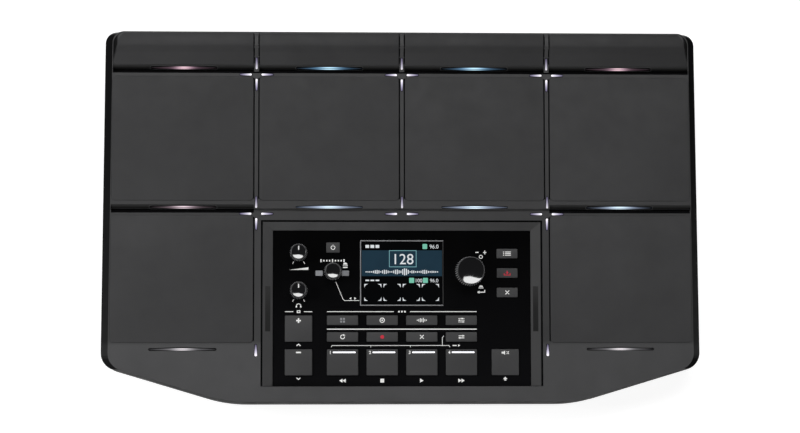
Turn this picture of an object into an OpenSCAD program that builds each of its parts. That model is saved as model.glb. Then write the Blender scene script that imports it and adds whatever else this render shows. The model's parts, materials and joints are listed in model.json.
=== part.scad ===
// Electronic percussion pad: six square pads, four bar pads and a recessed control panel.
// The upper half is modelled on its own deck plane, which leans towards the player.
// On that plane x runs right, y runs to the rear and z = 0 is the rib surface of the rear pads.

/* [Case] */
// Lean of the deck towards the player, in degrees
tilt = 5; // [3:0.5:7]
// Height of the middle of the deck above the table
deck_h = 62; // [58:1:72]
// Wall thickness of both case halves
wall = 3; // [2.4:0.2:4]
// Depth of the seam between the case halves below the deck
seam = 26; // [24:1:30]
// Depth below the deck where the upright side wall begins to lean inward
shoulder = 14; // [11:0.5:16]
// How far the side wall leans inward up to the deck
side_lean = 7.2; // [5.6:0.1:7.2]
// Part of that lean that lies above the deck of the front pads
edge_lean = 0.3; // [0.2:0.1:1]
// How far the rear wall leans inward up to the deck
rear_lean = 1.1; // [0.3:0.1:1.4]
// How far the front wall leans inward up to the deck
front_lean = 2; // [1:0.5:4]
// Width of the case beyond the outer pads on each side
side_margin = 8.3; // [7.6:0.1:11]
// Extra half-width of the case at the front
flare = 2.1; // [0:0.1:4]
// Radius of the rear corners
rear_r = 10; // [8:1:16]
// Radius where the sides meet the slanted front edges
side_r = 15; // [10:1:24]
// Radius where the slanted front edges meet the straight front
front_r = 120; // [60:5:160]
// Width of each slanted front edge
slant_w = 108; // [95:1:125]
// Depth of each slanted front edge
slant_d = 32.6; // [28:0.2:38]
// Thickness of the solid deck under the deepest pad pocket
deck_floor = 3; // [2:0.5:5]
// Inset of the lower case at the seam
seam_step = 0.8; // [0.4:0.1:1.2]
// Diameter of the screw bosses
boss_d = 9; // [8:0.5:11]
// Diameter of the case screws
screw_d = 3; // [2.5:0.5:4]
// Diameter of the heads of the case screws
screw_head_d = 6; // [5:0.5:7]
// Clearance of the case screws in their holes, on the diameter
screw_gap = 0.2; // [0.1:0.1:0.4]
// Height of the heads of the case screws
screw_head_h = 2.4; // [2:0.1:3]
// Height of the seats of the case screws above the underside
screw_seat = 5; // [4:0.5:6]
// Length of the case screws in the upper case
screw_grip = 7; // [5:0.5:8]

/* [Pads] */
// Width of every pad
pad_w = 121.1; // [114:0.1:128]
// Depth of the four pads of the rear row
rear_pad_d = 107.2; // [98:0.1:116]
// Depth of the two front pads
front_pad_d = 109.3; // [98:0.1:112]
// Corner radius of the pads
pad_r = 3; // [1.5:0.5:6]
// Gap round each pad
pad_gap = 0.45; // [0.35:0.05:0.8]
// Width of the ribs between the columns of pads
rib_w = 4.2; // [3.6:0.1:6]
// How far the pads stand proud of the deck
pad_proud = 0.6; // [0.3:0.1:1.5]
// Thickness of the rubber of the pads
rubber_t = 5; // [4:0.5:6]
// Thickness of the cushion under the rubber
cushion_t = 3; // [2:0.5:4]
// Thickness of the steel plate under the cushion
plate_t = 1.6; // [1:0.2:2]
// Width of the ledge that carries each plate
pad_ledge = 10; // [7:1:14]
// Drop of the front pads below the deck
row_drop = 3; // [2:0.5:4]
// Diameter of the sensor under each plate
sensor_d = 27; // [20:1:35]
// Thickness of the sensors
sensor_t = 0.5; // [0.4:0.1:1]

/* [Bars] */
// Depth of the bar pads
bar_d = 27.2; // [24:0.2:32]
// Height of the crest of the bars above the deck
bar_h = 5.2; // [4:0.2:8]
// Height of the low front part of the bars above the deck
bar_low = 1.6; // [1:0.2:2.6]
// Depth of the low front part of the bars
bar_low_d = 9; // [6:0.5:11]
// Height of the front edge of the bars above the deck
bar_lip = 0.4; // [0.2:0.1:0.8]
// Height of the rear face of the bars above the deck
bar_hip = 2.2; // [1.4:0.1:3]
// Distance of the crest from the rear face of the bars
bar_crest = 10.6; // [8:0.2:12]
// Draft of the outer end of the outer bars up to the crest
bar_draft = 4.5; // [2:0.5:6]
// Depth of the bars below the deck
bar_sink = 2; // [1.5:0.5:3]
// How far the ribs between the bars lie below them
rib_drop = 0.4; // [0.2:0.1:1]
// Width of the rim behind the bars
bar_rim = 2.2; // [1.8:0.1:3]

/* [Ribs and lights] */
// Depth of the rib in front of the bars
rear_rib_d = 4.3; // [3.6:0.1:6]
// Depth of the rib behind the front pads
front_rib_d = 3.5; // [3.2:0.1:5]
// Width of the groove beside each rib
groove_d = 2.2; // [1.4:0.1:3]
// Depth of the groove below the deck
groove_z = 4.6; // [3.8:0.1:5.2]
// Depth of the sloped face that holds a light
slope_d = 3.6; // [3.2:0.1:4.5]
// Drop of the sloped face
slope_z = 2.7; // [2:0.1:3.2]
// Depth of the land between the sloped face and the rear pads
land_d = 3.3; // [2:0.1:5]
// Length of the lens-shaped lights of the rear row
lens_w = 58; // [44:1:70]
// Height of the lens-shaped lights on the slopes
lens_h = 3.2; // [2.4:0.1:3.6]
// Height of the flat lights in front of the middle pads
flat_lens_h = 2.6; // [1.8:0.1:3]
// Height of the lights in front of the front pads
front_lens_h = 2.2; // [1.6:0.1:3]
// Distance of the front lights from the front pads
front_lens_gap = 5.5; // [3.5:0.5:8]
// Thickness of the lights
lens_t = 1.2; // [0.8:0.1:1.5]
// Distance from the middle of a star to its arms
star_in = 4.2; // [4:0.1:5]
// Length of the arms of a star
arm_len = 10.2; // [7:0.2:12]
// Width of an arm at its inner end
arm_w = 2.3; // [1.6:0.1:2.6]
// Width of an arm at its outer end
arm_tip = 1.2; // [0.8:0.1:1.5]
// Distance of the single front arms from the front pads
front_arm_gap = 2; // [1:0.5:5]

/* [Control panel] */
// Thickness of the panel
panel_t = 2.5; // [2:0.25:3]
// Drop of the panel below the front pads' deck
panel_drop = 3.5; // [2.5:0.5:4.5]
// Width of the ledge under the edge of the panel
panel_ledge = 5.6; // [4:0.2:6.2]
// Width of the surround at the sides of the panel
surround_w = 9.4; // [7:0.2:11]
// Width of the surround behind the panel
surround_d = 8; // [6:0.5:10]
// Wall between the front pads and the surround
panel_wall = 6.8; // [5:0.2:8]
// Distance from the surround to the rib behind the front pads
surround_gap = 4.7; // [3:0.1:7]
// Depth of the apron in front of the panel
apron_d = 14.6; // [14:0.2:24]
// Gap between the panel, the surround and the case
fit_gap = 0.25; // [0.15:0.05:0.4]
// Distance from the rear edge of the panel to the screen
screen_margin = 8.1; // [7:0.1:10]
// Width of the screen window
screen_w = 72.6; // [62:0.2:76]
// Depth of the screen window
screen_d = 57; // [54:0.5:62]
// Thickness of the screen window
screen_t = 1.5; // [1:0.1:1.7]
// Width of the ledge under the screen window
screen_ledge = 1.3; // [0.9:0.1:1.8]
// Thickness of the display module
module_t = 4; // [3:0.5:5]
// Overlap of the display module under the panel
module_lap = 3; // [2:0.5:3.5]
// Gap between the screen and the row of mode buttons
mode_gap = 8.4; // [7:0.1:10]
// Depth of the slim buttons
slim_d = 8.2; // [8:0.1:11]
// Gap between the mode buttons and the looper buttons
looper_gap = 6.2; // [3.4:0.1:8]
// Gap between the looper buttons and the loop switches
switch_gap = 6.6; // [3.4:0.1:8]
// Depth of the large switches
switch_d = 22.4; // [18:0.1:27]
// Gap from the large switches to the front edge of the panel
front_gap = 9.4; // [8.2:0.1:12]
// Width of the buttons in the side columns
column_w = 23.5; // [20:0.5:26]
// Gap from the side columns to the side edges of the panel
column_edge = 10.4; // [9.4:0.1:13]
// Gap between the side columns and the rows of four
column_gap = 12.8; // [9:0.1:14]
// Gap between the buttons of a row of four
row_gap = 7.4; // [4:0.1:9]
// Width of the edit buttons at the right
edit_w = 18.1; // [14:0.1:20]
// Spacing of the edit buttons
edit_pitch = 16.9; // [15:0.1:18]
// Distance from the row of the push knobs to the volume knobs
knob_pitch = 16.4; // [15:0.1:18]
// Shift of the knobs to the rear from the middle of the screen
knob_shift = 1.4; // [0:0.1:2]
// Shift of the knob and the button left of the screen to the left
left_shift = 0.8; // [0:0.1:2]
// Shift of the edit buttons from the middle of the right column
edit_shift = 2; // [0:0.5:3]
// Gap between the knob at the left of the screen and the power button
power_gap = 8.3; // [6:0.1:9]
// Width of the power button
power_w = 11.6; // [10:0.1:14]
// Depth of the power button
power_d = 8.8; // [7:0.1:9.5]

/* [Buttons] */
// How far the buttons stand proud of the panel
cap_proud = 1.6; // [1.3:0.1:2.5]
// Corner radius of the buttons
cap_r = 0.6; // [0.5:0.1:2.5]
// Gap round each button
cap_gap = 0.3; // [0.2:0.05:0.5]
// Width of the flange that keeps a button under the panel
flange_w = 1; // [0.7:0.1:1.1]
// Thickness of that flange
flange_t = 1; // [0.7:0.1:1.2]
// Gap between the flange and the panel
flange_gap = 0.2; // [0.1:0.05:0.4]
// Travel of the buttons
cap_travel = 1; // [0.6:0.1:1.1]
// Diameter of the stems of the buttons
stem_d = 3; // [2.4:0.1:3.6]
// Gap between a stem and its switch
stem_gap = 0.15; // [0.1:0.05:0.3]
// Height of the switches on the board
switch_h = 4.2; // [3.6:0.1:4.6]
// Width of the switches
switch_w = 6.2; // [5.4:0.1:7]

/* [Knobs] */
// Diameter of the knob shafts
shaft_d = 6; // [5:0.5:7]
// Running clearance of the shafts on the radius
run_gap = 0.05; // [0.03:0.01:0.08]
// Diameter of the skirts of the small knobs
small_skirt_d = 15.8; // [15:0.2:20]
// Diameter of the tops of the small knobs
small_top_d = 13; // [10:0.2:15]
// Diameter of the skirt of the large knob
large_skirt_d = 25.6; // [23:0.2:28]
// Diameter of the top of the large knob
large_top_d = 23.6; // [18:0.2:25]
// Height of the small knobs
small_knob_h = 12.5; // [11:0.5:18]
// Height of the large knob
large_knob_h = 15; // [12:0.5:20]
// Height of the skirts of the knobs
skirt_h = 2.4; // [1.5:0.1:4]
// Distance from the axis of a push shaft to its flat
shaft_flat = 2.25; // [2.1:0.05:2.3]
// Gap between the panel and the knobs
knob_gap = 0.6; // [0.4:0.1:1]
// Thickness of the roofs of the knobs under their dish
knob_roof_t = 2; // [1.5:0.1:2.5]
// Dish in the tops of the knobs
dish = 0.8; // [0.3:0.1:1.2]
// Travel of the knobs that can be pushed
push_travel = 0.8; // [0.5:0.1:1]
// Diameter of the rotors of the knobs that can be pushed
rotor_d = 10; // [9:0.5:11]
// Width of the bodies under the knobs
pot_w = 13.4; // [13:0.2:15]
// Thickness of the floors of those bodies
pot_floor_t = 1; // [0.8:0.1:1.4]
// Gap between the panel and the bodies under the knobs
pot_gap = 1; // [0.8:0.1:1.5]

/* [Inside] */
// Distance from the panel to the board under it
board_drop = 7.4; // [7:0.1:8]
// Thickness of the circuit boards
board_t = 1.6; // [1:0.2:2]
// Diameter of the posts that carry the boards
post_d = 5; // [4:0.5:6]
// Width of the main board
main_board_w = 220; // [160:5:230]
// Depth of the main board
main_board_d = 130; // [100:5:150]
// Height of the main board above the floor of the lower case
main_board_h = 8; // [6:0.5:9]
// Width of the square plate for a stand
stand_plate_w = 126; // [115:1:140]
// Thickness of the plate for a stand
stand_plate_t = 3; // [2:0.5:4]
// Spacing of the four holes for a stand
stand_pitch = 75; // [60:1:80]
// Diameter of the four holes for a stand
stand_hole_d = 5.2; // [4.2:0.2:6.2]
// Width of the square window in the floor below that plate
stand_window = 104; // [95:1:108]

/* [Feet and sockets] */
// Height of the rubber feet
foot_h = 4; // [3:0.5:6]
// Diameter of the rubber feet
foot_d = 24; // [18:1:30]
// Distance between the left and right feet
foot_span_x = 430; // [380:5:450]
// Distance between the front and rear feet
foot_span_y = 230; // [190:5:240]
// Diameter of the holes of the audio sockets
jack_d = 6.5; // [6.3:0.1:6.7]
// Spacing of the audio sockets
jack_pitch = 22; // [18:0.5:26]
// Number of audio sockets
jack_count = 4; // [2:1:5]
// Distance from the window's left edge to the first audio socket
jack_edge = 16.5; // [14:0.5:18]
// Step from a socket block to the nose that fills its window
socket_nose = 3; // [2:0.5:4]
// Width and height of the block of an audio socket
jack_block = 16; // [14:0.5:17]
// Depth of the block of an audio socket
jack_len = 24; // [20:1:30]
// Diameter of the collar round an audio socket
jack_collar_d = 11; // [9:0.5:13]
// How far the collars stand out of the rear panel
collar_t = 2; // [1:0.25:2.25]
// Height of the middle of the sockets above the table
socket_z = 28; // [26:0.5:30]
// Width of the rear panel that holds the sockets
rear_panel_w = 230; // [200:5:260]
// Height of the rear panel
rear_panel_h = 30; // [26:1:32]
// Thickness of the rear panel
rear_panel_t = 2; // [1.5:0.25:3]
// Overlap of the rear panel behind the rear wall
rear_lap = 4; // [2:0.5:5]
// Width and height of the block of the data and power sockets
port_block = 13; // [12:0.5:14]
// Distance from the window's right edge to the first port
port_edge = 20.4; // [18:0.2:24]
// Spacing of the data and power sockets
port_pitch = 34; // [26:1:40]
// Width of the opening of the data socket
port_w = 8.6; // [8:0.1:9]
// Height of the opening of the data socket
port_h = 7.6; // [7:0.1:8]
// Diameter of the opening of the power socket
inlet_d = 6; // [5.4:0.1:6.6]
// Diameter of the pin of the power socket
pin_d = 2.1; // [1.6:0.1:2.5]
// Width of the tongue in the data port
tongue_w = 5.7; // [5:0.1:6.5]
// Height of the tongue in the data port
tongue_h = 3; // [2.4:0.1:3.6]
// Depth of the openings of the data and power sockets
port_deep = 10; // [8:0.5:12]

/* [Hidden] */
MAIN_PADS = 6;
ROW = 4;
$fn = 48;

// Reach of the cutting blocks, past every edge of the case
far = 500;
// Clearance round the lights in their slots, and how far they stand proud
light_gap = 0.1;
light_proud = 0.2;
// Radius of the corners of the panel and the screen window
plate_r = 1;

// Columns of pads across the deck
pitch = pad_w + 2 * pad_gap + rib_w;
column_x = [for (i = [0:ROW - 1]) (i - (ROW - 1) / 2) * pitch];
outer_x = column_x[ROW - 1];
half_rear = outer_x + pad_w / 2 + side_margin;
half_front = half_rear + flare;
opening_half = outer_x - pad_w / 2 - pad_gap - panel_wall;
panel_half = opening_half - 2 * fit_gap - surround_w;

// Levels below the deck
pocket_z = rubber_t - pad_proud + cushion_t + plate_t;
deck_under = row_drop + pocket_z + deck_floor;
trough_z = bar_sink + cushion_t + sensor_t;
panel_top = -row_drop - panel_drop;
panel_under = panel_top - panel_t;
board_top = panel_under - board_drop;

// Lines from the front edge to the rear edge of the deck
panel_d = screen_margin + screen_d + mode_gap + 2 * slim_d + looper_gap + switch_gap + switch_d + front_gap;
panel_zone = apron_d + fit_gap + panel_d + fit_gap + surround_d + fit_gap;
step_zone = surround_gap + front_rib_d + groove_d + slope_d + land_d;
rear_zone = 2 * pad_gap + rear_pad_d + rear_rib_d + groove_d + slope_d;
body_d = panel_zone + step_zone + rear_zone + 2 * pad_gap + bar_d + bar_rim;
y_front = -body_d / 2;
y_rear = body_d / 2;
panel_front = y_front + apron_d + fit_gap;
panel_rear = panel_front + panel_d;
surround_rear = panel_rear + fit_gap + surround_d;
opening_rear = surround_rear + fit_gap;
front_rib = opening_rear + surround_gap;
front_pad_rear = front_rib - pad_gap;
front_pad_front = front_pad_rear - front_pad_d;
front_groove = front_rib + front_rib_d;
step_top = front_groove + groove_d;
rear_pad_front = step_top + slope_d + land_d + pad_gap;
rear_pad_rear = rear_pad_front + rear_pad_d;
rear_rib = rear_pad_rear + pad_gap;
rear_groove = rear_rib + rear_rib_d;
bar_front = rear_groove + groove_d + slope_d + pad_gap;
bar_rear = bar_front + bar_d;

// Extra width at y of a pad in the outer columns, which follows the sides of the case
function widen(x, y) = abs(x) == outer_x ? flare * (y_rear - y) / (y_rear - y_front - slant_d) : 0;

// Each main pad as its middle, its depth, the level of the deck round it and its width
rear_pad_y = (rear_pad_front + rear_pad_rear) / 2;
front_pad_y = (front_pad_front + front_pad_rear) / 2;
PADS = [
    for (p = concat(
        [for (x = column_x) [x, rear_pad_y, rear_pad_d, 0]],
        [for (x = [-outer_x, outer_x]) [x, front_pad_y, front_pad_d, -row_drop]]
    ))
        let(more = widen(p.x, p.y))
        [p.x + sign(p.x) * more / 2, p.y, p[2], p[3], pad_w + more]
];

// Places of the controls on the panel
row_w = (2 * (panel_half - column_edge - column_w - column_gap) - (ROW - 1) * row_gap) / ROW;
row_x = [for (i = [0:ROW - 1]) (i - (ROW - 1) / 2) * (row_w + row_gap)];
right_x = panel_half - column_edge - column_w / 2;
screen_y = panel_rear - screen_margin - screen_d / 2;
mode_y = panel_rear - screen_margin - screen_d - mode_gap - slim_d / 2;
looper_y = mode_y - slim_d - looper_gap;
switch_y = looper_y - slim_d / 2 - switch_gap - switch_d / 2;
kit_up_y = (mode_y + looper_y) / 2;
kit_up_d = 2 * slim_d + looper_gap;
knob_gap_x = (right_x - small_skirt_d / 2 - screen_w / 2) / 2;
push_x = screen_w / 2 + knob_gap_x;
edit_x = right_x + edit_shift;
knob_y = screen_y + knob_shift;
power_y = knob_y + small_skirt_d / 2 + power_gap + power_d / 2;

// Each button as its middle, its width and its depth
POWER = [-push_x - left_shift, power_y, power_w, power_d];
EDITS = [for (k = [1, 0, -1]) [edit_x, screen_y + k * edit_pitch, edit_w, slim_d]];
KIT_UP = [-right_x, kit_up_y, column_w, kit_up_d];
KIT_DOWN = [-right_x, switch_y, column_w, switch_d];
MODES = [for (x = row_x) [x, mode_y, row_w, slim_d]];
LOOPERS = [for (x = row_x) [x, looper_y, row_w, slim_d]];
LOOPS = [for (x = row_x) [x, switch_y, row_w, switch_d]];
SOUND_OFF = [right_x, switch_y, column_w, switch_d];
BUTTONS = concat([POWER], EDITS, [KIT_UP, KIT_DOWN], MODES, LOOPERS, LOOPS, [SOUND_OFF]);

// Middles of the knobs that turn, and of those that turn and push
MAIN_VOLUME = [-right_x, knob_y + knob_pitch];
PHONES = [-right_x, knob_y - knob_pitch];
METRONOME = [-push_x - left_shift, knob_y];
VALUE = [push_x, knob_y];
POTS = [MAIN_VOLUME, PHONES];
ENCODERS = [METRONOME, VALUE];

// Heights of the moving parts under the panel
flange_under = panel_under - flange_gap - flange_t;
stem_bite = switch_h / 4;
stem_end = board_top + switch_h - stem_bite;
end_gap = 0.3;
pot_top = panel_under - pot_gap;
pot_floor = board_top + pot_floor_t;
knob_roof = dish + knob_roof_t;

// Posts under the panel, clear of every button
ledge_x = panel_half - panel_ledge;
post_x = ledge_x - post_d / 2 - end_gap;
gap_x = panel_half - column_edge - column_w - column_gap / 2;
post_rear_y = panel_rear - panel_ledge - post_d / 2 - end_gap;
post_mid_y = (PHONES.y - small_skirt_d / 2 + kit_up_y + kit_up_d / 2) / 2;
POSTS = [for (s = [-1, 1], p = [[post_x, post_rear_y], [post_x, post_mid_y], [gap_x, switch_y]]) [s * p.x, p.y]];

// Arms of the lights as star middle, direction, deck level and distance to the arm
rear_star_y = rear_rib + rear_rib_d / 2;
front_star_y = front_rib + front_rib_d / 2;
step_in = max(star_in, step_top + 3 * light_gap - front_star_y);
single_y = front_pad_front - front_arm_gap + star_in;
ARMS = concat(
    [for (x = [-pitch, 0, pitch], a = [0, 90, 180, 270]) [x, rear_star_y, a, 0, star_in]],
    [for (x = [-pitch, 0, pitch], a = [0, 180]) [x, front_star_y, a, -row_drop, star_in]],
    [for (x = [-pitch, 0, pitch]) [x, front_star_y, 90, 0, step_in]],
    [for (x = [-pitch, pitch]) [x, front_star_y, 270, -row_drop, star_in]],
    [for (x = [-pitch, pitch]) [x, single_y, 270, -row_drop, star_in]]
);

// Each flat light as its middle, its height and the level of the deck round it
land_y = step_top + slope_d / 2;
FLAT_LENSES = concat(
    [for (i = [1, 2]) [column_x[i], land_y, flat_lens_h, 0]],
    [for (x = [-outer_x, outer_x]) [x, front_pad_front - front_lens_gap, front_lens_h, -row_drop]]
);
// Each sloped light as its column and the groove in front of its slope
SLOPES = concat(
    [for (x = column_x) [x, rear_groove]],
    [for (x = [-outer_x, outer_x]) [x, front_groove]]
);
slope_a = atan(slope_z / slope_d);

// Shift that puts the middle of the part's box over its origin
y_shift = -(seam + shoulder) / 2 * sin(tilt);
rear_y = y_rear * cos(tilt) + seam * sin(tilt) + y_shift - seam_step;
rear_inner = rear_y - wall;
floor_top = foot_h + wall;
BOSSES = [for (s = [-1, 1], p = [[pitch, rear_pad_y], [pitch, screen_y], [outer_x, front_star_y]]) [s * p.x, p.y]];
boss_hole = screw_d + screw_gap;

// Middles of the audio sockets from the left, and of the ports from the right
window_half = rear_panel_w / 2 - rear_lap;
jack_x = [for (i = [0:jack_count - 1]) -window_half + jack_edge + jack_pitch * i];
port_x = [for (i = [0, 1]) window_half - port_edge - port_pitch * i];

// Point of the deck axis at y that lies at a height above the table
function axis_z(y, height) = (height - deck_h - y * sin(tilt)) / cos(tilt);

function unit(v) = v / norm(v);

// Points of an arc of radius r that rounds corner b between its neighbours a and c
function corner(a, b, c, r, n = 8) =
    let(
        u = unit(a - b),
        v = unit(c - b),
        half = acos(u * v) / 2,
        middle = b + unit(u + v) * r / sin(half),
        first = b + u * r / tan(half) - middle,
        start = atan2(first.y, first.x),
        turn = 180 - 2 * half
    )
    [for (i = [0:n]) middle + r * [cos(start + turn * i / n), sin(start + turn * i / n)]];

// Outline of the case, drawn in from its sides, its rear and its front
function outline(side = 0, rear = 0, front = 0) =
    let(
        slant = atan(slant_d / slant_w),
        rise = front / cos(slant),
        front_x = half_front - slant_w + (front - rise) / tan(slant),
        side_y = y_front + slant_d - side * tan(slant) + rise,
        right = [
            [front_x, y_front + front, front_r],
            [half_front - side, side_y, side_r],
            [half_rear - side, y_rear - rear, rear_r]
        ],
        left = [for (i = [2:-1:0]) [-right[i].x, right[i].y, right[i].z]],
        all = concat(right, left),
        n = len(all)
    )
    [for (i = [0:n - 1])
        let(a = all[(i + n - 1) % n], b = all[i], c = all[(i + 1) % n])
        each corner([a.x, a.y], [b.x, b.y], [c.x, c.y], b.z)];

// Outline of the lower case on the table, under the seam
function lower_outline(inset) =
    [for (p = outline(inset, inset, inset)) [p.x, p.y * cos(tilt) + seam * sin(tilt) + y_shift]];

// Rectangle with round corners
function rounded(w, d, r, n = 5) =
    [for (c = [[1, 1, 0], [-1, 1, 90], [-1, -1, 180], [1, -1, 270]], i = [0:n])
        let(a = c[2] + 90 * i / n)
        [c[0] * (w / 2 - r) + r * cos(a), c[1] * (d / 2 - r) + r * sin(a)]];

// Lens between two equal arcs
function lens(w, h, n = 8) =
    let(r = (w * w + h * h) / (4 * h), half = asin(w / 2 / r))
    concat(
        [for (i = [0:n - 1]) let(a = half * (2 * i / n - 1)) [r * sin(a), r - h / 2 - r * cos(a)]],
        [for (i = [0:n - 1]) let(a = half * (1 - 2 * i / n)) [r * sin(a), r * cos(a) - r + h / 2]]
    );

// Tapered arm of a star, grown by a clearance
function arm(inner, gap = 0) =
    let(outer = inner + arm_len)
    [
        [inner - gap, -arm_w / 2 - gap],
        [outer + gap, -arm_tip / 2 - gap],
        [outer + gap, arm_tip / 2 + gap],
        [inner - gap, arm_w / 2 + gap]
    ];

// Section of a bar from its front to its rear: round crest, hollow ramp, low front
function bar_section(n = 8) =
    let(crest = bar_d - bar_crest)
    concat(
        [[0, -bar_sink], [bar_d, -bar_sink]],
        [for (i = [0:n]) let(a = 90 * i / n) [crest + bar_crest * cos(a), bar_hip + (bar_h - bar_hip) * sin(a)]],
        [for (i = [1:n])
            let(t = i / n)
            [crest + (bar_low_d - crest) * t, bar_h - (bar_h - bar_low) * (1 - cos(180 * t)) / 2]],
        [[0, bar_lip]]
    );

// Solid through a stack of outlines with the same number of points
module loft(sections) {
    n = len(sections[0][1]);
    last = len(sections) - 1;
    points = [for (s = sections, p = s[1]) [p.x, p.y, s[0]]];
    sides = [for (k = [0:last - 1], i = [0:n - 1])
        let(a = k * n + i, b = k * n + (i + 1) % n)
        each [[a, a + n, b + n], [a, b + n, b]]];
    bottom = [for (i = [0:n - 1]) i];
    top = [for (i = [n - 1:-1:0]) last * n + i];
    polyhedron(points, concat([bottom, top], sides));
}

module on_deck() {
    translate([0, y_shift, deck_h])
        rotate([tilt, 0, 0])
            children();
}

// Extrusion along x of a shape drawn in y and z
module across(w) {
    rotate([90, 0, 90])
        linear_extrude(w, center = true)
            children();
}

// Extrusion along y of a shape drawn in x and z
module along(from, to) {
    translate([0, to, 0])
        rotate([90, 0, 0])
            linear_extrude(to - from)
                children();
}

module slab(w, d, r, t) {
    linear_extrude(t)
        polygon(rounded(w, d, r));
}

// Places its children on the face of every slope
module each_slope() {
    for (s = SLOPES)
        translate([s.x, s.y + groove_d + slope_d / 2, -slope_z / 2])
            rotate([slope_a, 0, 0])
                children();
}

// Lights grown by a clearance, sunk into the deck by a depth and reaching up by a height
module lens_set(gap, sink, t) {
    w = lens_w + 2 * gap;
    each_slope()
        translate([0, 0, -sink])
            linear_extrude(t)
                polygon(lens(w, lens_h + 2 * gap));
    for (f = FLAT_LENSES)
        translate([f.x, f.y, f[3] - sink])
            linear_extrude(t)
                polygon(lens(w, f[2] + 2 * gap));
}

module arm_set(gap, sink, t) {
    for (a = ARMS)
        translate([a.x, a.y, a[3] - sink])
            rotate(a[2])
                linear_extrude(t)
                    polygon(arm(a[4], gap));
}

// Upper case before its pockets, with the front part of the deck cut lower
module case_block() {
    run = groove_d / 2;
    difference() {
        loft([
            [-seam, outline()],
            [-shoulder, outline()],
            [-row_drop, outline(side_lean - edge_lean, rear_lean, front_lean - edge_lean)],
            [0, outline(side_lean, rear_lean, front_lean)]
        ]);
        across(2 * far)
            polygon([
                [step_top, far],
                [step_top, 0],
                [step_top - run, -row_drop],
                [-far, -row_drop],
                [-far, far]
            ]);
    }
}

// Groove and sloped face beside a rib
module light_step(s) {
    y = s.y;
    more = widen(s.x, y);
    translate([s.x + sign(s.x) * more / 2, 0, 0])
        across(pad_w + more + 2 * pad_gap)
            polygon([
                [y, far],
                [y, -groove_z],
                [y + groove_d, -groove_z],
                [y + groove_d, -slope_z],
                [y + groove_d + slope_d, 0],
                [y + groove_d + slope_d, far]
            ]);
}

// Pocket of a main pad with a ledge for its plate
module pad_pocket(p) {
    translate([p.x, p.y, p[3] - pocket_z])
        slab(p[4] + 2 * pad_gap, p[2] + 2 * pad_gap, pad_r + pad_gap, far);
    translate([p.x, p.y, -far])
        slab(p[4] - 2 * pad_ledge, p[2] - 2 * pad_ledge, pad_r, far);
}

// Trough of the bars, rounded like the rear corners of the case
module bar_troughs() {
    d = bar_d + 2 * pad_gap;
    intersection() {
        for (x = column_x)
            translate([x - pad_w / 2 - pad_gap, bar_front - pad_gap, -trough_z])
                cube([pad_w + 2 * pad_gap, d, far]);
        translate([0, 0, -trough_z])
            linear_extrude(far)
                polygon(outline(side_margin - pad_gap, bar_rim));
    }
}

// Ribs between the bars, which follow them behind the star lights
module bar_ribs() {
    start = rear_star_y + star_in + arm_len + 3 * light_gap;
    for (x = [-pitch, 0, pitch])
        intersection() {
            translate([x, bar_front, -rib_drop])
                across(rib_w)
                    polygon(bar_section());
            translate([x - rib_w, start, -bar_sink])
                cube([2 * rib_w, far, far]);
        }
}

// Opening for the panel and its surround, with a ledge below them
module panel_opening() {
    d = opening_rear - panel_front + fit_gap;
    translate([-opening_half, panel_front - fit_gap, panel_under])
        cube([2 * opening_half, d, far]);
    translate([-ledge_x, panel_front + panel_ledge, -far])
        cube([2 * ledge_x, panel_d - 2 * panel_ledge, far]);
}

module top_case() {
    depth = seam - deck_under;
    color("#3d3e40")
        on_deck() {
            difference() {
                case_block();
                translate([0, 0, -seam - wall])
                    linear_extrude(depth + wall)
                        polygon(outline(wall, wall, wall));
                for (p = PADS)
                    pad_pocket(p);
                for (s = SLOPES)
                    light_step(s);
                bar_troughs();
                panel_opening();
                lens_set(light_gap, lens_t - light_proud, far);
                arm_set(light_gap, lens_t - light_proud, far);
            }
            bar_ribs();
            for (b = BOSSES)
                translate([b.x, b.y, -seam])
                    difference() {
                        cylinder(h = depth + deck_floor / 2, d = boss_d);
                        translate([0, 0, -wall])
                            cylinder(h = wall + screw_grip + end_gap, d = boss_hole);
                    }
        }
}

// Space of the lower case inside an inset of its outline, from a height up to the seam
module lower_block(inset, z) {
    intersection() {
        translate([0, 0, z])
            linear_extrude(far)
                polygon(lower_outline(inset));
        on_deck()
            translate([-far, -far, -seam - 2 * far])
                cube([2 * far, 2 * far, 2 * far]);
    }
}

// Places its children at the head end of every case screw
module each_screw() {
    on_deck()
        for (b = BOSSES)
            translate([b.x, b.y, axis_z(b.y, foot_h + screw_seat)])
                children();
}

module bottom_case() {
    board_x = main_board_w / 2 - post_d;
    board_y = main_board_d / 2 - post_d;
    color("#2c2d2f") {
        difference() {
            union() {
                difference() {
                    lower_block(seam_step, foot_h);
                    translate([0, 0, floor_top])
                        linear_extrude(far)
                            polygon(lower_outline(seam_step + wall));
                }
                intersection() {
                    on_deck()
                        for (b = BOSSES)
                            translate([b.x, b.y, -seam - far])
                                cylinder(h = far, d = boss_d);
                    lower_block(seam_step, foot_h);
                }
            }
            each_screw() {
                translate([0, 0, -deck_h])
                    cylinder(h = 2 * deck_h, d = boss_hole);
                translate([0, 0, -deck_h])
                    cylinder(h = deck_h, d = screw_head_d + 2 * end_gap);
            }
            translate([0, rear_y, socket_z])
                cube([rear_panel_w - 2 * rear_lap, 4 * wall, rear_panel_h - 2 * rear_lap], center = true);
            translate([0, 0, foot_h])
                cube([stand_window, stand_window, 4 * wall], center = true);
        }
        for (x = [-board_x, board_x], y = [-board_y, board_y])
            translate([x, y, floor_top])
                cylinder(h = main_board_h, d = post_d);
    }
}

module case_screws() {
    color("#8f9194")
        on_deck()
            for (b = BOSSES) {
                z = axis_z(b.y, foot_h + screw_seat);
                translate([b.x, b.y, z - screw_head_h])
                    cylinder(h = screw_head_h, d = screw_head_d);
                translate([b.x, b.y, z - screw_head_h / 2])
                    cylinder(h = screw_grip - seam - z + screw_head_h / 2, d = screw_d);
            }
}

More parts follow.
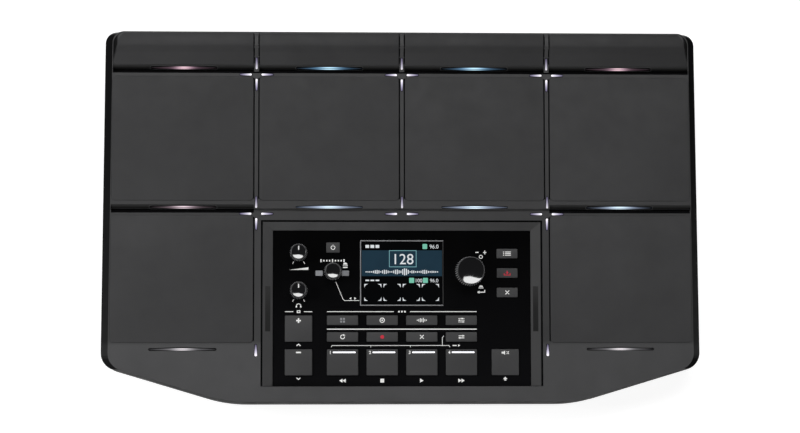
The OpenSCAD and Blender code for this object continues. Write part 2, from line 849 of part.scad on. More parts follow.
module rubber_feet() {
    color("#1b1b1c")
        for (x = [-foot_span_x / 2, foot_span_x / 2], y = [-foot_span_y / 2, foot_span_y / 2])
            translate([x, y, 0])
                cylinder(h = foot_h, d = foot_d);
}

module stand_plate() {
    color("#9a9c9e")
        translate([0, 0, floor_top])
            difference() {
                translate([0, 0, stand_plate_t / 2])
                    cube([stand_plate_w, stand_plate_w, stand_plate_t], center = true);
                for (x = [-stand_pitch / 2, stand_pitch / 2], y = [-stand_pitch / 2, stand_pitch / 2])
                    translate([x, y, -wall])
                        cylinder(h = stand_plate_t + 2 * wall, d = stand_hole_d);
            }
}

module main_board() {
    color("#1e5a3a")
        translate([0, 0, floor_top + main_board_h + board_t / 2])
            cube([main_board_w, main_board_d, board_t], center = true);
}

module rear_panel() {
    color("#242526")
        difference() {
            translate([0, rear_inner - rear_panel_t / 2, socket_z])
                cube([rear_panel_w, rear_panel_t, rear_panel_h], center = true);
            for (x = jack_x)
                translate([x, rear_inner, socket_z])
                    cube(jack_block - socket_nose + 2 * fit_gap, center = true);
            for (x = port_x)
                translate([x, rear_inner, socket_z])
                    cube(port_block - socket_nose + 2 * fit_gap, center = true);
        }
}

// Block behind the rear panel with a nose that fills its window
module socket_block(w, len) {
    nose = w - socket_nose;
    translate([-w / 2, -rear_panel_t - len, -w / 2])
        cube([w, len, w]);
    translate([-nose / 2, -rear_panel_t - len / 2, -nose / 2])
        cube([nose, rear_panel_t + len / 2, nose]);
}

module jack_sockets() {
    color("#2b2c2e")
        for (x = jack_x)
            translate([x, rear_inner, socket_z])
                difference() {
                    union() {
                        socket_block(jack_block, jack_len);
                        rotate([-90, 0, 0])
                            cylinder(h = collar_t, d = jack_collar_d);
                    }
                    translate([0, collar_t + wall, 0])
                        rotate([90, 0, 0])
                            cylinder(h = jack_len + wall, d = jack_d);
                }
}

module port_sockets() {
    color("#a9abad") {
        translate([port_x[0], rear_inner, socket_z]) {
            difference() {
                socket_block(port_block, port_deep + wall);
                rotate([90, 0, 0])
                    translate([0, 0, -wall])
                        cylinder(h = port_deep + wall, d = inlet_d);
            }
            rotate([90, 0, 0])
                translate([0, 0, 1])
                    cylinder(h = port_deep, d = pin_d);
        }
        translate([port_x[1], rear_inner, socket_z]) {
            difference() {
                socket_block(port_block, port_deep + wall);
                cube([port_w, 2 * port_deep, port_h], center = true);
            }
            translate([-tongue_w / 2, -port_deep - 1, -tongue_h / 2])
                cube([tongue_w, port_deep, tongue_h]);
        }
    }
}

// Rubber block of a main pad
module main_pad(i) {
    p = PADS[i - 1];
    color("#3e3f41")
        on_deck()
            translate([p.x, p.y, p[3] + pad_proud - rubber_t])
                slab(p[4], p[2], pad_r, rubber_t);
}

// Rubber bar; the outer ends of the outer bars follow the case
module bar_pad(i) {
    x = column_x[i - 1];
    inset = bar_rim + pad_gap;
    color("#343537")
        on_deck()
            intersection() {
                translate([x, bar_front, 0])
                    across(pad_w)
                        polygon(bar_section());
                if (i == 1 || i == ROW)
                    loft([
                        [-bar_sink - 1, outline(side_margin, inset)],
                        [0, outline(side_margin, inset)],
                        [2 * bar_h, outline(side_margin + 2 * bar_draft, inset)]
                    ]);
                else
                    translate([x, bar_front, 0])
                        cube(far, center = true);
            }
}

module pad_plates() {
    color("#8c8e90")
        on_deck()
            for (p = PADS)
                translate([p.x, p.y, p[3] - pocket_z])
                    slab(p[4], p[2], pad_r, plate_t);
}

module pad_cushions() {
    trim = 2 * pad_r;
    color("#555659")
        on_deck() {
            for (p = PADS)
                translate([p.x, p.y, p[3] - pocket_z + plate_t])
                    slab(p[4] - trim, p[2] - trim, pad_r, cushion_t);
            for (x = column_x)
                translate([x, bar_front + bar_d / 2, -bar_sink - cushion_t])
                    slab(pad_w - rear_r, bar_d - rear_r, pad_r, cushion_t);
        }
}

module pad_sensors() {
    color("#b08d3e")
        on_deck() {
            for (p = PADS)
                translate([p.x, p.y, p[3] - pocket_z - sensor_t])
                    cylinder(h = sensor_t, d = sensor_d);
            for (x = column_x)
                translate([x, bar_front + bar_d / 2, -trough_z])
                    slab(pad_w - rear_r, bar_d - rear_r, pad_r, sensor_t);
        }
}

module pad_lights() {
    color("#e6dfe6")
        on_deck()
            lens_set(0, lens_t - light_proud, lens_t);
}

module star_lights() {
    color("#efe9f7")
        on_deck()
            arm_set(0, lens_t - light_proud, lens_t);
}

// Frame that slopes down to the panel at its left, right and rear
module panel_surround() {
    outer = opening_half - fit_gap;
    inner = panel_half + fit_gap;
    low = panel_top + panel_drop / 4;
    rim = surround_w / 8;
    color("#333436")
        on_deck() {
            for (s = [-1, 1])
                along(panel_front, surround_rear)
                    polygon([
                        [s * outer, panel_under],
                        [s * inner, panel_under],
                        [s * inner, low],
                        [s * (outer - rim), -row_drop],
                        [s * outer, -row_drop]
                    ]);
            across(2 * outer)
                polygon([
                    [surround_rear, panel_under],
                    [surround_rear, -row_drop],
                    [surround_rear - rim, -row_drop],
                    [panel_rear + fit_gap, low],
                    [panel_rear + fit_gap, panel_under]
                ]);
        }
}

module control_panel() {
    hole_w = screen_w - 2 * screen_ledge;
    hole_d = screen_d - 2 * screen_ledge;
    color("#0c0c0d")
        on_deck() {
            difference() {
                translate([0, (panel_front + panel_rear) / 2, panel_under])
                    slab(2 * panel_half, panel_d, plate_r, panel_t);
                for (b = BUTTONS)
                    translate([b.x, b.y, -far / 2])
                        slab(b[2] + 2 * cap_gap, b[3] + 2 * cap_gap, cap_r + cap_gap, far);
                for (k = concat(POTS, ENCODERS))
                    translate([k.x, k.y, -far / 2])
                        cylinder(h = far, d = shaft_d + 4 * cap_gap);
                translate([0, screen_y, panel_top - screen_t])
                    slab(screen_w, screen_d, plate_r, far);
                translate([0, screen_y, -far / 2])
                    slab(hole_w, hole_d, plate_r, far);
            }
            for (p = POSTS)
                translate([p.x, p.y, board_top])
                    cylinder(h = board_drop + panel_t / 2, d = post_d);
        }
}

module lcd_window() {
    color("#1d3a44")
        on_deck()
            translate([0, screen_y, panel_top - screen_t])
                slab(screen_w - light_gap, screen_d - light_gap, plate_r, screen_t);
}

module lcd_module() {
    lap = 2 * (module_lap - screen_ledge);
    color("#6d7174")
        on_deck()
            translate([0, screen_y, panel_under - module_t])
                slab(screen_w + lap, screen_d + lap, plate_r, module_t);
}

module panel_board() {
    d = panel_d - 2 * panel_ledge - 2 * fit_gap;
    color("#1e5a3a")
        on_deck()
            translate([0, (panel_front + panel_rear) / 2, board_top - board_t])
                slab(2 * (ledge_x - fit_gap), d, plate_r, board_t);
}

module switches() {
    color("#4a4b4d")
        on_deck()
            for (b = BUTTONS)
                translate([b.x, b.y, board_top])
                    difference() {
                        slab(switch_w, switch_w, plate_r, switch_h);
                        translate([0, 0, stem_end - cap_travel - end_gap - board_top])
                            cylinder(h = switch_h, d = stem_d + 2 * stem_gap);
                    }
}

module rotary_bodies() {
    color("#55585b")
        on_deck() {
            for (k = POTS)
                rotary_body(k, shaft_d);
            for (k = ENCODERS)
                rotary_body(k, rotor_d);
        }
}

// Body of a rotary control with a blind bore
module rotary_body(k, bore) {
    translate([k.x, k.y, board_top])
        difference() {
            slab(pot_w, pot_w, plate_r, pot_top - board_top);
            translate([0, 0, pot_floor - board_top])
                cylinder(h = far, d = bore + 2 * run_gap);
        }
}

// Space above the panel below a knob with a given push
function knob_base(push) = panel_top + knob_gap + push;

module knob_shaft(k, h, push) {
    base = pot_floor + end_gap + push;
    tip = knob_base(push) + h - knob_roof;
    color("#b9bbbd")
        on_deck()
            translate([k.x, k.y, base])
                difference() {
                    cylinder(h = tip - base, d = shaft_d);
                    if (push > 0)
                        translate([-far / 2, shaft_flat, -1])
                            cube([far, far, pot_top + 1 - base + push]);
                }
}

// Sleeve that turns with its shaft and lets it slide
module rotor(k) {
    base = pot_floor + end_gap;
    h = pot_top - base;
    color("#c8cacc")
        on_deck()
            translate([k.x, k.y, base])
                difference() {
                    cylinder(h = h, d = rotor_d);
                    intersection() {
                        translate([0, 0, -1])
                            cylinder(h = h + 2, d = shaft_d + 2 * run_gap);
                        translate([-far / 2, shaft_flat + run_gap - far, -far / 2])
                            cube(far);
                    }
                }
}

// Round knob with a skirt, a dished top and a bore for its shaft
module knob(k, skirt, top, h, push) {
    bore = shaft_d / 2 + run_gap;
    edge = dish;
    color("#3a3b3d")
        on_deck()
            translate([k.x, k.y, knob_base(push)])
                rotate_extrude()
                    polygon([
                        [bore, 0],
                        [skirt / 2, 0],
                        [skirt / 2, skirt_h / 2],
                        [top / 2 + edge / 2, skirt_h],
                        [top / 2, h - edge],
                        [top / 2 - edge, h],
                        [top / 4, h - dish],
                        [0, h - dish],
                        [0, h - knob_roof],
                        [bore, h - knob_roof]
                    ]);
}

// Button cap with its flange and stem
module button(b) {
    w = b[2];
    d = b[3];
    lip = 2 * (cap_gap + flange_w);
    color("#3c3d3f")
        on_deck()
            translate([b.x, b.y, 0]) {
                translate([0, 0, flange_under])
                    slab(w, d, cap_r, panel_top + cap_proud - flange_under);
                translate([0, 0, flange_under])
                    slab(w + lip, d + lip, cap_r, flange_t);
                translate([0, 0, stem_end])
                    cylinder(h = flange_under + flange_t / 2 - stem_end, d = stem_d);
            }
}

module main_volume_shaft() { knob_shaft(MAIN_VOLUME, small_knob_h, 0); }
module phones_shaft() { knob_shaft(PHONES, small_knob_h, 0); }
module metronome_shaft() { knob_shaft(METRONOME, small_knob_h, push_travel); }
module value_shaft() { knob_shaft(VALUE, large_knob_h, push_travel); }
module metronome_rotor() { rotor(METRONOME); }
module value_rotor() { rotor(VALUE); }
module main_volume_knob() { knob(MAIN_VOLUME, small_skirt_d, small_top_d, small_knob_h, 0); }
module phones_knob() { knob(PHONES, small_skirt_d, small_top_d, small_knob_h, 0); }
module metronome_knob() { knob(METRONOME, small_skirt_d, small_top_d, small_knob_h, push_travel); }
module value_knob() { knob(VALUE, large_skirt_d, large_top_d, large_knob_h, push_travel); }
module power_button() { button(POWER); }
module edit_button() { button(EDITS[0]); }
module write_button() { button(EDITS[1]); }
module exit_button() { button(EDITS[2]); }
module kit_up_button() { button(KIT_UP); }
module kit_down_button() { button(KIT_DOWN); }
module sound_off_button() { button(SOUND_OFF); }

bottom_case();
rear_panel();
top_case();
for (i = [1:MAIN_PADS]) main_pad(i);
for (i = [1:ROW]) bar_pad(i);
pad_plates();
pad_cushions();
pad_sensors();
pad_lights();
star_lights();
panel_surround();
control_panel();
lcd_window();
lcd_module();
panel_board();
main_board();
switches();
rotary_bodies();
main_volume_shaft();
phones_shaft();
metronome_rotor();
metronome_shaft();
value_rotor();
value_shaft();
main_volume_knob();
phones_knob();
metronome_knob();
value_knob();
power_button();
edit_button();
write_button();
exit_button();
kit_up_button();
kit_down_button();
for (i = [1:ROW]) button(MODES[i - 1]);
for (i = [1:ROW]) button(LOOPERS[i - 1]);
for (i = [1:ROW]) button(LOOPS[i - 1]);
sound_off_button();
jack_sockets();
port_sockets();
stand_plate();
rubber_feet();
case_screws();
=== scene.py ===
import json
from math import atan2, cos, pi, radians, sin, tau

import bmesh
import bpy
from mathutils import Matrix, Vector
from mathutils.bvhtree import BVHTree


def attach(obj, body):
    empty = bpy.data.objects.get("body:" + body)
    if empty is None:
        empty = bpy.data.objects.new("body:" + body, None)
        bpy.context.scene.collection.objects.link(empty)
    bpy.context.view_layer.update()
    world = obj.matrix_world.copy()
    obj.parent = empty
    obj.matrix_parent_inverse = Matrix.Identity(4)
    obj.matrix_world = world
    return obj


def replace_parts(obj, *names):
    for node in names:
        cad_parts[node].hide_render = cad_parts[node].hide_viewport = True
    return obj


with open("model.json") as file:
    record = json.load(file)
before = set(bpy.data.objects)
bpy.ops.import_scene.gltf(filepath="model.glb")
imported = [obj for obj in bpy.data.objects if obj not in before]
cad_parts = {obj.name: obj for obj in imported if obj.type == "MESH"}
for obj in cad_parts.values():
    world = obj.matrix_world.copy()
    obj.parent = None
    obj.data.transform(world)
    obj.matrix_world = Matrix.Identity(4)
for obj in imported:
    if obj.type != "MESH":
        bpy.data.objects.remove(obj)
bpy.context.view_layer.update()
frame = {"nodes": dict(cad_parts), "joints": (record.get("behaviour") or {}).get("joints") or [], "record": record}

scene = bpy.context.scene
scene.view_settings.view_transform = "Standard"

# Shapes are drawn in millimetres on the deck, which leans by the angle of the pads' joints
MM = 0.001
press = next(j for j in frame["joints"] if j["name"] == "main_pad_1_press")
lean = atan2(abs(press["axis"][1]), abs(press["axis"][2]))
DECK = Matrix.Rotation(lean, 4, "X") @ Matrix.Scale(MM, 4)
TO_DECK = DECK.inverted()
CORNERS = ((-1, -1), (1, -1), (1, 1), (-1, 1))


# Shader tools

NOISE_RANGE = (0.3, 0.7)


def wire(tree, node, inputs):
    """Sets inputs of a shader node to values, or links them to outputs."""
    for key, value in inputs.items():
        if isinstance(value, bpy.types.NodeSocket):
            tree.links.new(value, node.inputs[key])
        else:
            node.inputs[key].default_value = value


def add_node(tree, kind, inputs=None, **settings):
    """Outputs of a new shader node."""
    node = tree.nodes.new(f"ShaderNode{kind}")
    for name, value in settings.items():
        setattr(node, name, value)
    wire(tree, node, inputs or {})
    return node.outputs


def spread(tree, value, low, high, start=NOISE_RANGE[0], end=NOISE_RANGE[1]):
    """Number that runs from low to high as a value runs from start to end."""
    span = {"From Min": start, "From Max": end, "To Min": low, "To Max": high}
    return add_node(tree, "MapRange", {"Value": value, **span})["Result"]


def combined(tree, operation, *values):
    return add_node(tree, "Math", dict(enumerate(values)), operation=operation)[0]


def axis(tree, kind, name):
    """One axis of the coordinates of a piece or of its normal."""
    return add_node(tree, "SeparateXYZ", {0: add_node(tree, "TexCoord")[kind]})[name]


def noise(tree, size, detail=3):
    """Noise with features of a size in millimetres, fixed to the piece."""
    place = add_node(tree, "TexCoord")["Object"]
    return add_node(tree, "TexNoise", {"Scale": 1 / (size * MM), "Detail": detail, "Vector": place})["Fac"]


def mottled(tree, colour, size, low, high, detail=3):
    """Colour that varies between two shares of itself in patches of a size in millimetres."""
    node = tree.nodes.new("ShaderNodeValToRGB")
    for element, place, share in zip(node.color_ramp.elements, NOISE_RANGE, (low, high)):
        element.position = place
        element.color = (*(c * share for c in colour), 1)
    wire(tree, node, {"Fac": noise(tree, size, detail)})
    return node.outputs["Color"]


def times(tree, colour, value):
    return add_node(tree, "VectorMath", {0: colour, "Scale": value}, operation="SCALE")[0]


def graded(tree, colour, grades):
    """Colour scaled from one share to another over a span in metres along an axis of the part, for each grade; the
    grades are painted light and shade that fall off across a part.
    """
    for name, start, end, span in grades:
        colour = times(tree, colour, spread(tree, axis(tree, "Object", name), start, end, *span))
    return colour


def seen_rays(tree):
    """One for rays by which a thing is seen, and nought for those that carry its light."""
    rays = add_node(tree, "LightPath")
    near = combined(tree, "MAXIMUM", rays["Is Camera Ray"], rays["Is Glossy Ray"])
    return combined(tree, "MAXIMUM", near, rays["Is Transmission Ray"])


# Stage: the camera in millimetres, degrees and pixels of the photograph, and the lamps in metres and watts

IMAGE_W = 800
SENSOR_W = 36.0
CAMERA_TARGET = (-1.7, -1.8, 59.9)
CAMERA_DISTANCE = 2000.0
CAMERA_REACH = 100
CAMERA_SIDE = 2.33
CAMERA_ELEVATION = 80.2
CAMERA_ROLL = -0.31
FOCAL_PIXELS = 2306.0
SOFTBOXES = {
    "rear_softbox": ((0.05, 0.82, 1.85), (1.6, 0.6), 16),
    "left_softbox": ((-1.9, 0.1, 1.55), (0.7, 1.2), 18),
    "right_softbox": ((1.9, -0.2, 1.4), (0.8, 1.2), 2.5),
    "front_softbox": ((-0.2, -1.6, 1.4), (1.4, 0.8), 6),
}
LAMP_AIM = (0, 0, 0.05)
OVERHEAD = 0.04
HORIZON_LIGHT = 0.14
HORIZON_SEEN = 1.0
HORIZON_SPAN = (0.1, 0.8)
FLOOR_GREY = 0.5
FLOOR_LIFT = 0.86
FLOOR_RADIUS = 8


def placed(name, data):
    obj = bpy.data.objects.new(name, data)
    scene.collection.objects.link(obj)
    return obj


def filled_mesh(name, bm, materials):
    mesh = bpy.data.meshes.new(name)
    bm.to_mesh(mesh)
    bm.free()
    for material in materials:
        mesh.materials.append(material)
    return mesh


def add_camera():
    side = radians(CAMERA_SIDE)
    elevation = radians(CAMERA_ELEVATION)
    back = Vector((-sin(side), -cos(elevation), sin(elevation))).normalized()
    right = Vector((0, 1, 0)).cross(back).normalized()
    up = back.cross(right)
    turn = Matrix((right, up, back)).transposed() @ Matrix.Rotation(radians(CAMERA_ROLL), 3, "Z")
    data = bpy.data.cameras.new("camera")
    data.sensor_fit = "HORIZONTAL"
    data.sensor_width = SENSOR_W
    data.lens = FOCAL_PIXELS * SENSOR_W / IMAGE_W
    data.clip_end = CAMERA_REACH
    camera = placed("camera", data)
    place = (Vector(CAMERA_TARGET) + back * CAMERA_DISTANCE) * MM
    camera.matrix_world = Matrix.Translation(place) @ turn.to_4x4()
    scene.camera = camera


def add_softbox(name, place, size, power):
    """Area light that faces the middle of the part."""
    data = bpy.data.lights.new(name, "AREA")
    data.shape = "RECTANGLE"
    data.size, data.size_y = size
    data.energy = power
    light = placed(name, data)
    light.location = place
    light.rotation_euler = (Vector(place) - Vector(LAMP_AIM)).to_track_quat("Z", "Y").to_euler()


def empty_tree(block):
    block.use_nodes = True
    block.node_tree.nodes.clear()
    return block.node_tree


def add_world():
    """Studio surround, dark overhead; at the horizon it is dim as a light and white as it is seen."""
    scene.world = bpy.data.worlds.new("studio")
    tree = empty_tree(scene.world)
    seen, dim = (
        spread(tree, axis(tree, "Generated", "Z"), horizon, OVERHEAD, *HORIZON_SPAN)
        for horizon in (HORIZON_SEEN, HORIZON_LIGHT)
    )
    strength = add_node(tree, "Mix", {"Factor": seen_rays(tree), "A": dim, "B": seen})["Result"]
    background = add_node(tree, "Background", {"Strength": strength})["Background"]
    add_node(tree, "OutputWorld", {"Surface": background})


def add_floor():
    """Pale round floor that keeps the part's shadow and is white where it is seen lit."""
    material = bpy.data.materials.new("floor")
    tree = empty_tree(material)
    diffuse = add_node(tree, "BsdfDiffuse", {"Color": (FLOOR_GREY, FLOOR_GREY, FLOOR_GREY, 1)})[0]
    lift = add_node(tree, "Emission", {"Strength": spread(tree, seen_rays(tree), 0, FLOOR_LIFT, 0, 1)})[0]
    add_node(tree, "OutputMaterial", {"Surface": add_node(tree, "AddShader", {0: diffuse, 1: lift})[0]})
    bm = bmesh.new()
    bmesh.ops.create_circle(bm, cap_ends=True, segments=96, radius=FLOOR_RADIUS)
    placed("floor", filled_mesh("floor", bm, [material]))


add_camera()
add_world()
add_floor()
for name, values in SOFTBOXES.items():
    add_softbox(name, *values)


# Materials

# Places in metres and shares of a normal between which painted light and shade change the tone of moulded plastic and
# the panel
FALL_SPAN = (-0.25, 0.25)
BACK_SPAN = (0, 0.12)
FORE_SPAN = (-0.113, -0.109)
REAR_SPAN = (-0.12, 0.1)
SIDE_TURN = (0.35, 0.6)
LIP_SPAN = (-0.12, -0.11)
LIP_TURN = (-0.6, -0.2)
BAR_END = (0.2454, 0.2472)
BAR_END_LEAN = 0.0048
BAR_END_SPAN = (0.1297, 0.146)
PANEL_SPAN = (-0.14, -0.02)
# Sizes in millimetres of the patches in which tone and gloss are uneven
TONE_PATCH = 40
ROUGH_PATCH = 12
SMEAR = 30
GLASS_PATCH = 60
INK_PATCH = 1.5
SCREEN_PATCH = 18
UNEVEN = 0.1
ROUGH_SWING = 0.06
# Gloss of faces under painted shade
DARK_SPECULAR = 0.02
DARK_INDEX = 1.05
INDEX = 1.5
BEVEL_SAMPLES = 4
BUMP = 0.5
COAT_ROUGHNESS = 0.04
BRUSH_SCALE = 900
BRUSH_DEPTH = 0.02
BRUSH_BUMP = 0.25
BRUSH_SWING = (-0.08, 0.1)


def linear(*levels):
    """Linear colour of sRGB levels from 0 to 255; one level gives a grey."""
    levels = levels * 3 if len(levels) == 1 else levels
    return tuple(((v / 255 + 0.055) / 1.055) ** 2.4 for v in levels)


def shader(name, level, roughness, specular=0.5):
    material = bpy.data.materials.new(name)
    material.use_nodes = True
    tree = material.node_tree
    bsdf = tree.nodes["Principled BSDF"]
    wire(tree, bsdf, {"Base Color": (*linear(*level), 1), "Roughness": roughness, "Specular IOR Level": specular})
    return material, tree, bsdf


def side_shade(tree, side, rear, lip):
    """Painted shade: dimming of faces that look sideways, more so toward the rear, or forward at the front."""
    turned = spread(tree, combined(tree, "ABSOLUTE", axis(tree, "Normal", "X")), 0, 1, *SIDE_TURN)
    cut = spread(tree, axis(tree, "Object", "Y"), 1 - side, 1 - side * rear, *REAR_SPAN)
    dim = spread(tree, combined(tree, "MULTIPLY", turned, cut), 1, 0, 0, 1)
    if lip < 1:
        near = spread(tree, axis(tree, "Object", "Y"), 1, 0, *LIP_SPAN)
        ahead = spread(tree, axis(tree, "Normal", "Y"), 1 - lip, 0, *LIP_TURN)
        dim = combined(tree, "SUBTRACT", dim, combined(tree, "MULTIPLY", near, ahead))
    return dim


def end_shade(tree, ends):
    """Painted shade: dimming of the outer ends of the bars, behind a slanted line."""
    out = combined(tree, "ABSOLUTE", axis(tree, "Object", "X"))
    slant = spread(tree, axis(tree, "Object", "Y"), BAR_END_LEAN, 0, *BAR_END_SPAN)
    return spread(tree, combined(tree, "SUBTRACT", out, slant), 1, ends, *BAR_END)


def moulded(name, level, roughness, grain, depth, edge=0.4, specular=0.5, side=1.0, rear=1.0, lip=1.0, ends=1.0,
            grades=()):
    """Moulded plastic or rubber: grain and softened edges in millimetres, uneven tone and gloss.

    It can carry painted shade, in its colour and its gloss, on faces that look sideways (side, and rear there) or
    forward (lip), and at the bars' ends; its grades paint light and shade that fall off along the part.
    """
    material, tree, bsdf = shader(name, level, roughness, specular)
    tone = graded(tree, mottled(tree, linear(*level), TONE_PATCH, 1 - UNEVEN, 1 + UNEVEN, 6), grades)
    darkest = min(side * rear, lip, ends)
    if darkest < 1:
        shade = side_shade(tree, side, rear, lip) if ends == 1 else end_shade(tree, ends)
        dim = spread(tree, shade, darkest, 1, darkest, 1)
        tone = times(tree, tone, dim)
        wire(tree, bsdf, {"Specular IOR Level": spread(tree, dim, DARK_SPECULAR, specular, darkest, 1)})
        if ends == 1:
            wire(tree, bsdf, {"IOR": spread(tree, dim, DARK_INDEX, INDEX, darkest, 1)})
    rough = spread(tree, noise(tree, ROUGH_PATCH), roughness - ROUGH_SWING, roughness + ROUGH_SWING)
    soft = add_node(tree, "Bevel", {"Radius": edge * MM}, samples=BEVEL_SAMPLES)[0]
    height = noise(tree, grain, 2)
    bump = add_node(tree, "Bump", {"Strength": BUMP, "Distance": depth * MM, "Height": height, "Normal": soft})[0]
    wire(tree, bsdf, {"Base Color": tone, "Roughness": rough, "Normal": bump})
    return material


def gloss(name, level, roughness, coat, specular, grades=(), index=INDEX):
    """Polished plastic or glass with faint smears in its gloss; its grades paint a sheen along it."""
    material, tree, bsdf = shader(name, level, roughness, specular)
    wire(tree, bsdf, {"Coat Weight": coat, "Coat Roughness": COAT_ROUGHNESS, "IOR": index})
    smear = spread(tree, noise(tree, SMEAR, 5), roughness * 0.7, roughness * 1.5)
    tone = graded(tree, mottled(tree, linear(*level), GLASS_PATCH, 0.85, 1.15), grades)
    wire(tree, bsdf, {"Base Color": tone, "Roughness": smear})
    return material


def metal(name, level, roughness, stretch=(1, 1, 1)):
    """Metal with fine brushing along the axis that is stretched."""
    material, tree, bsdf = shader(name, level, roughness)
    place = add_node(tree, "TexCoord")["Object"]
    place = add_node(tree, "Mapping", {"Scale": stretch, "Vector": place})[0]
    brush = add_node(tree, "TexNoise", {"Scale": BRUSH_SCALE, "Vector": place})["Fac"]
    rough = spread(tree, brush, *(roughness + swing for swing in BRUSH_SWING))
    bump = add_node(tree, "Bump", {"Strength": BRUSH_BUMP, "Distance": BRUSH_DEPTH * MM, "Height": brush})[0]
    wire(tree, bsdf, {"Metallic": 1, "Roughness": rough, "Normal": bump})
    return material


def printed(name, level, glow=0.0):
    """Screen-printed ink, a little uneven; its glow is the lamp of the loop switches' bars, and on white and red ink
    it is painted light that brightens the print.
    """
    material, tree, bsdf = shader(name, level, 0.5)
    tone = mottled(tree, linear(*level), INK_PATCH, 0.88, 1)
    wire(tree, bsdf, {"Base Color": tone, "Emission Color": tone, "Emission Strength": glow})
    return material


def lit(name, level):
    """Light guide whose colour and strength are kept on its points."""
    material, tree, bsdf = shader(name, level, 0.3, 0.1)
    tint = add_node(tree, "Attribute", attribute_name="tint")["Color"]
    glow = add_node(tree, "Attribute", attribute_name="glow")["Fac"]
    wire(tree, bsdf, {"Emission Color": tint, "Emission Strength": glow})
    return material


def toned(name):
    """Matt plastic whose grey, painted light and shade, is kept on its points."""
    material, tree, bsdf = shader(name, (40,), 0.65, 0.15)
    tint = add_node(tree, "Attribute", attribute_name="tint")["Color"]
    wire(tree, bsdf, {"Base Color": times(tree, tint, spread(tree, noise(tree, ROUGH_PATCH), 0.92, 1.08))})
    return material


def backlit(name, level):
    """Picture of a display behind glass, a little uneven."""
    material, tree, bsdf = shader(name, (4,), 0.08, 0.3)
    tone = mottled(tree, linear(*level), SCREEN_PATCH, 0.85, 1)
    wire(tree, bsdf, {"Emission Color": tone, "Emission Strength": 1})
    return material


# Case: painted light on the apron at the front, painted light that falls off to the right, and painted shade on faces
# that look sideways, toward the rear and forward at the lip
CASE = moulded("case_plastic", (56, 56, 57), 0.52, 0.9, 0.06, side=0.4, rear=0.62, lip=0.42,
               grades=[("Y", linear(77)[0] / linear(56)[0], 1, FORE_SPAN), ("X", 1, 0.85, FALL_SPAN)])
LOWER = moulded("lower_plastic", (32, 32, 33), 0.55, 0.9, 0.06, specular=0.25)
# Pads: painted light that falls off toward the rear and to the right
PAD = moulded("pad_rubber", (63, 63, 64), 0.62, 0.7, 0.08, specular=0.35,
              grades=[("Y", 1, 0.82, BACK_SPAN), ("X", 1, 0.93, FALL_SPAN)])
# Bars: painted shade at their outer ends and painted light that falls off to the right
BAR = moulded("bar_rubber", (55, 55, 56), 0.6, 0.7, 0.08, specular=0.35, ends=0.18, grades=[("X", 1, 0.72, FALL_SPAN)])
# Surround: painted shade on its sloped sides and painted light that falls off to the right
SURROUND = moulded("surround_plastic", (66, 66, 67), 0.5, 0.8, 0.05, side=0.6, grades=[("X", 1, 0.48, FALL_SPAN)])
CAP = moulded("button_rubber", (66, 66, 67), 0.55, 0.5, 0.05, edge=0.25, specular=0.4)
KNOB = moulded("knob_plastic", (96, 96, 97), 0.25, 0.4, 0.02, edge=0.1, specular=0.9)
# Painted shade in the knobs' flute grooves and on one band of their rim wall, and a painted highlight on the flute
# crests
KNOB_SHADE = moulded("knob_shade", (12, 12, 13), 0.5, 0.4, 0.02, edge=0.1, specular=0.2)
KNOB_CREST_HIGHLIGHT = moulded("knob_crest_highlights", (205, 205, 207), 0.3, 0.4, 0.02, edge=0.1, specular=0.9)
FOOT = moulded("foot_rubber", (26, 26, 27), 0.75, 0.6, 0.1)
BOARD = moulded("board_green", (22, 62, 40), 0.5, 2.0, 0.05)
FOAM = moulded("foam", (60, 60, 62), 0.9, 1.2, 0.4)
INSIDE = moulded("inner_plastic", (70, 71, 73), 0.55, 0.8, 0.05)
SOCKET = moulded("socket_plastic", (30, 30, 31), 0.45, 0.5, 0.03, edge=0.3)
BEZEL = moulded("bezel_grey", (156, 156, 159), 0.35, 0.6, 0.02, edge=0.15)
# Painted shade on the right side of the screen's bezel
BEZEL_SHADE = moulded("bezel_shade", (44, 44, 45), 0.45, 0.6, 0.02, edge=0.15, specular=0.2)
# Black of the lens slots and the surround's seam, and painted shade on the groove floors, rib edges, the gaps beside
# pads and bars, and round the star arms
SLOT_AND_SHADE_BLACK = moulded("slot_and_shade_black", (10, 10, 11), 0.8, 0.5, 0.02, edge=0.1, specular=0.03)
SHADE = toned("shaded_plastic")
# Panel: painted sheen, brighter toward the front
GLASS_BLACK = gloss("panel_gloss", (3, 3, 4), 0.09, coat=0.12, specular=0.25, grades=[("Y", 4.2, 1, PANEL_SPAN)])
KNOB_TOP = gloss("knob_top", (19, 19, 21), 0.07, coat=1.0, specular=1.0, index=1.62)
SCREEN = gloss("screen_glass", (5, 6, 8), 0.06, coat=0.2, specular=0.3)
STEEL = metal("steel", (168, 169, 171), 0.38, (1, 0.05, 1))
NICKEL = metal("nickel", (190, 190, 188), 0.25)
BRASS = metal("sensor_brass", (190, 152, 82), 0.35)
# White and red ink glow faintly: painted light that brightens the print
WHITE_INK = printed("white_ink", (232, 232, 230), glow=0.35)
GREY_INK = printed("grey_ink", (158, 160, 164))
RED_INK = printed("red_ink", (196, 38, 58), glow=0.25)
EDGE_GREY = printed("edge_grey", (72, 72, 73))
LED_WHITE = printed("led_white", (250, 250, 255), glow=0.9)
LENS = lit("lens_light", (8, 8, 9))
STAR = lit("star_light", (88, 84, 104))
SCREEN_BLUE = backlit("screen_blue", (30, 52, 66))
SCREEN_TEAL = backlit("screen_teal", (126, 178, 186))
SCREEN_WHITE = backlit("screen_white", (226, 230, 234))
SCREEN_GREEN = backlit("screen_green", (120, 196, 172))

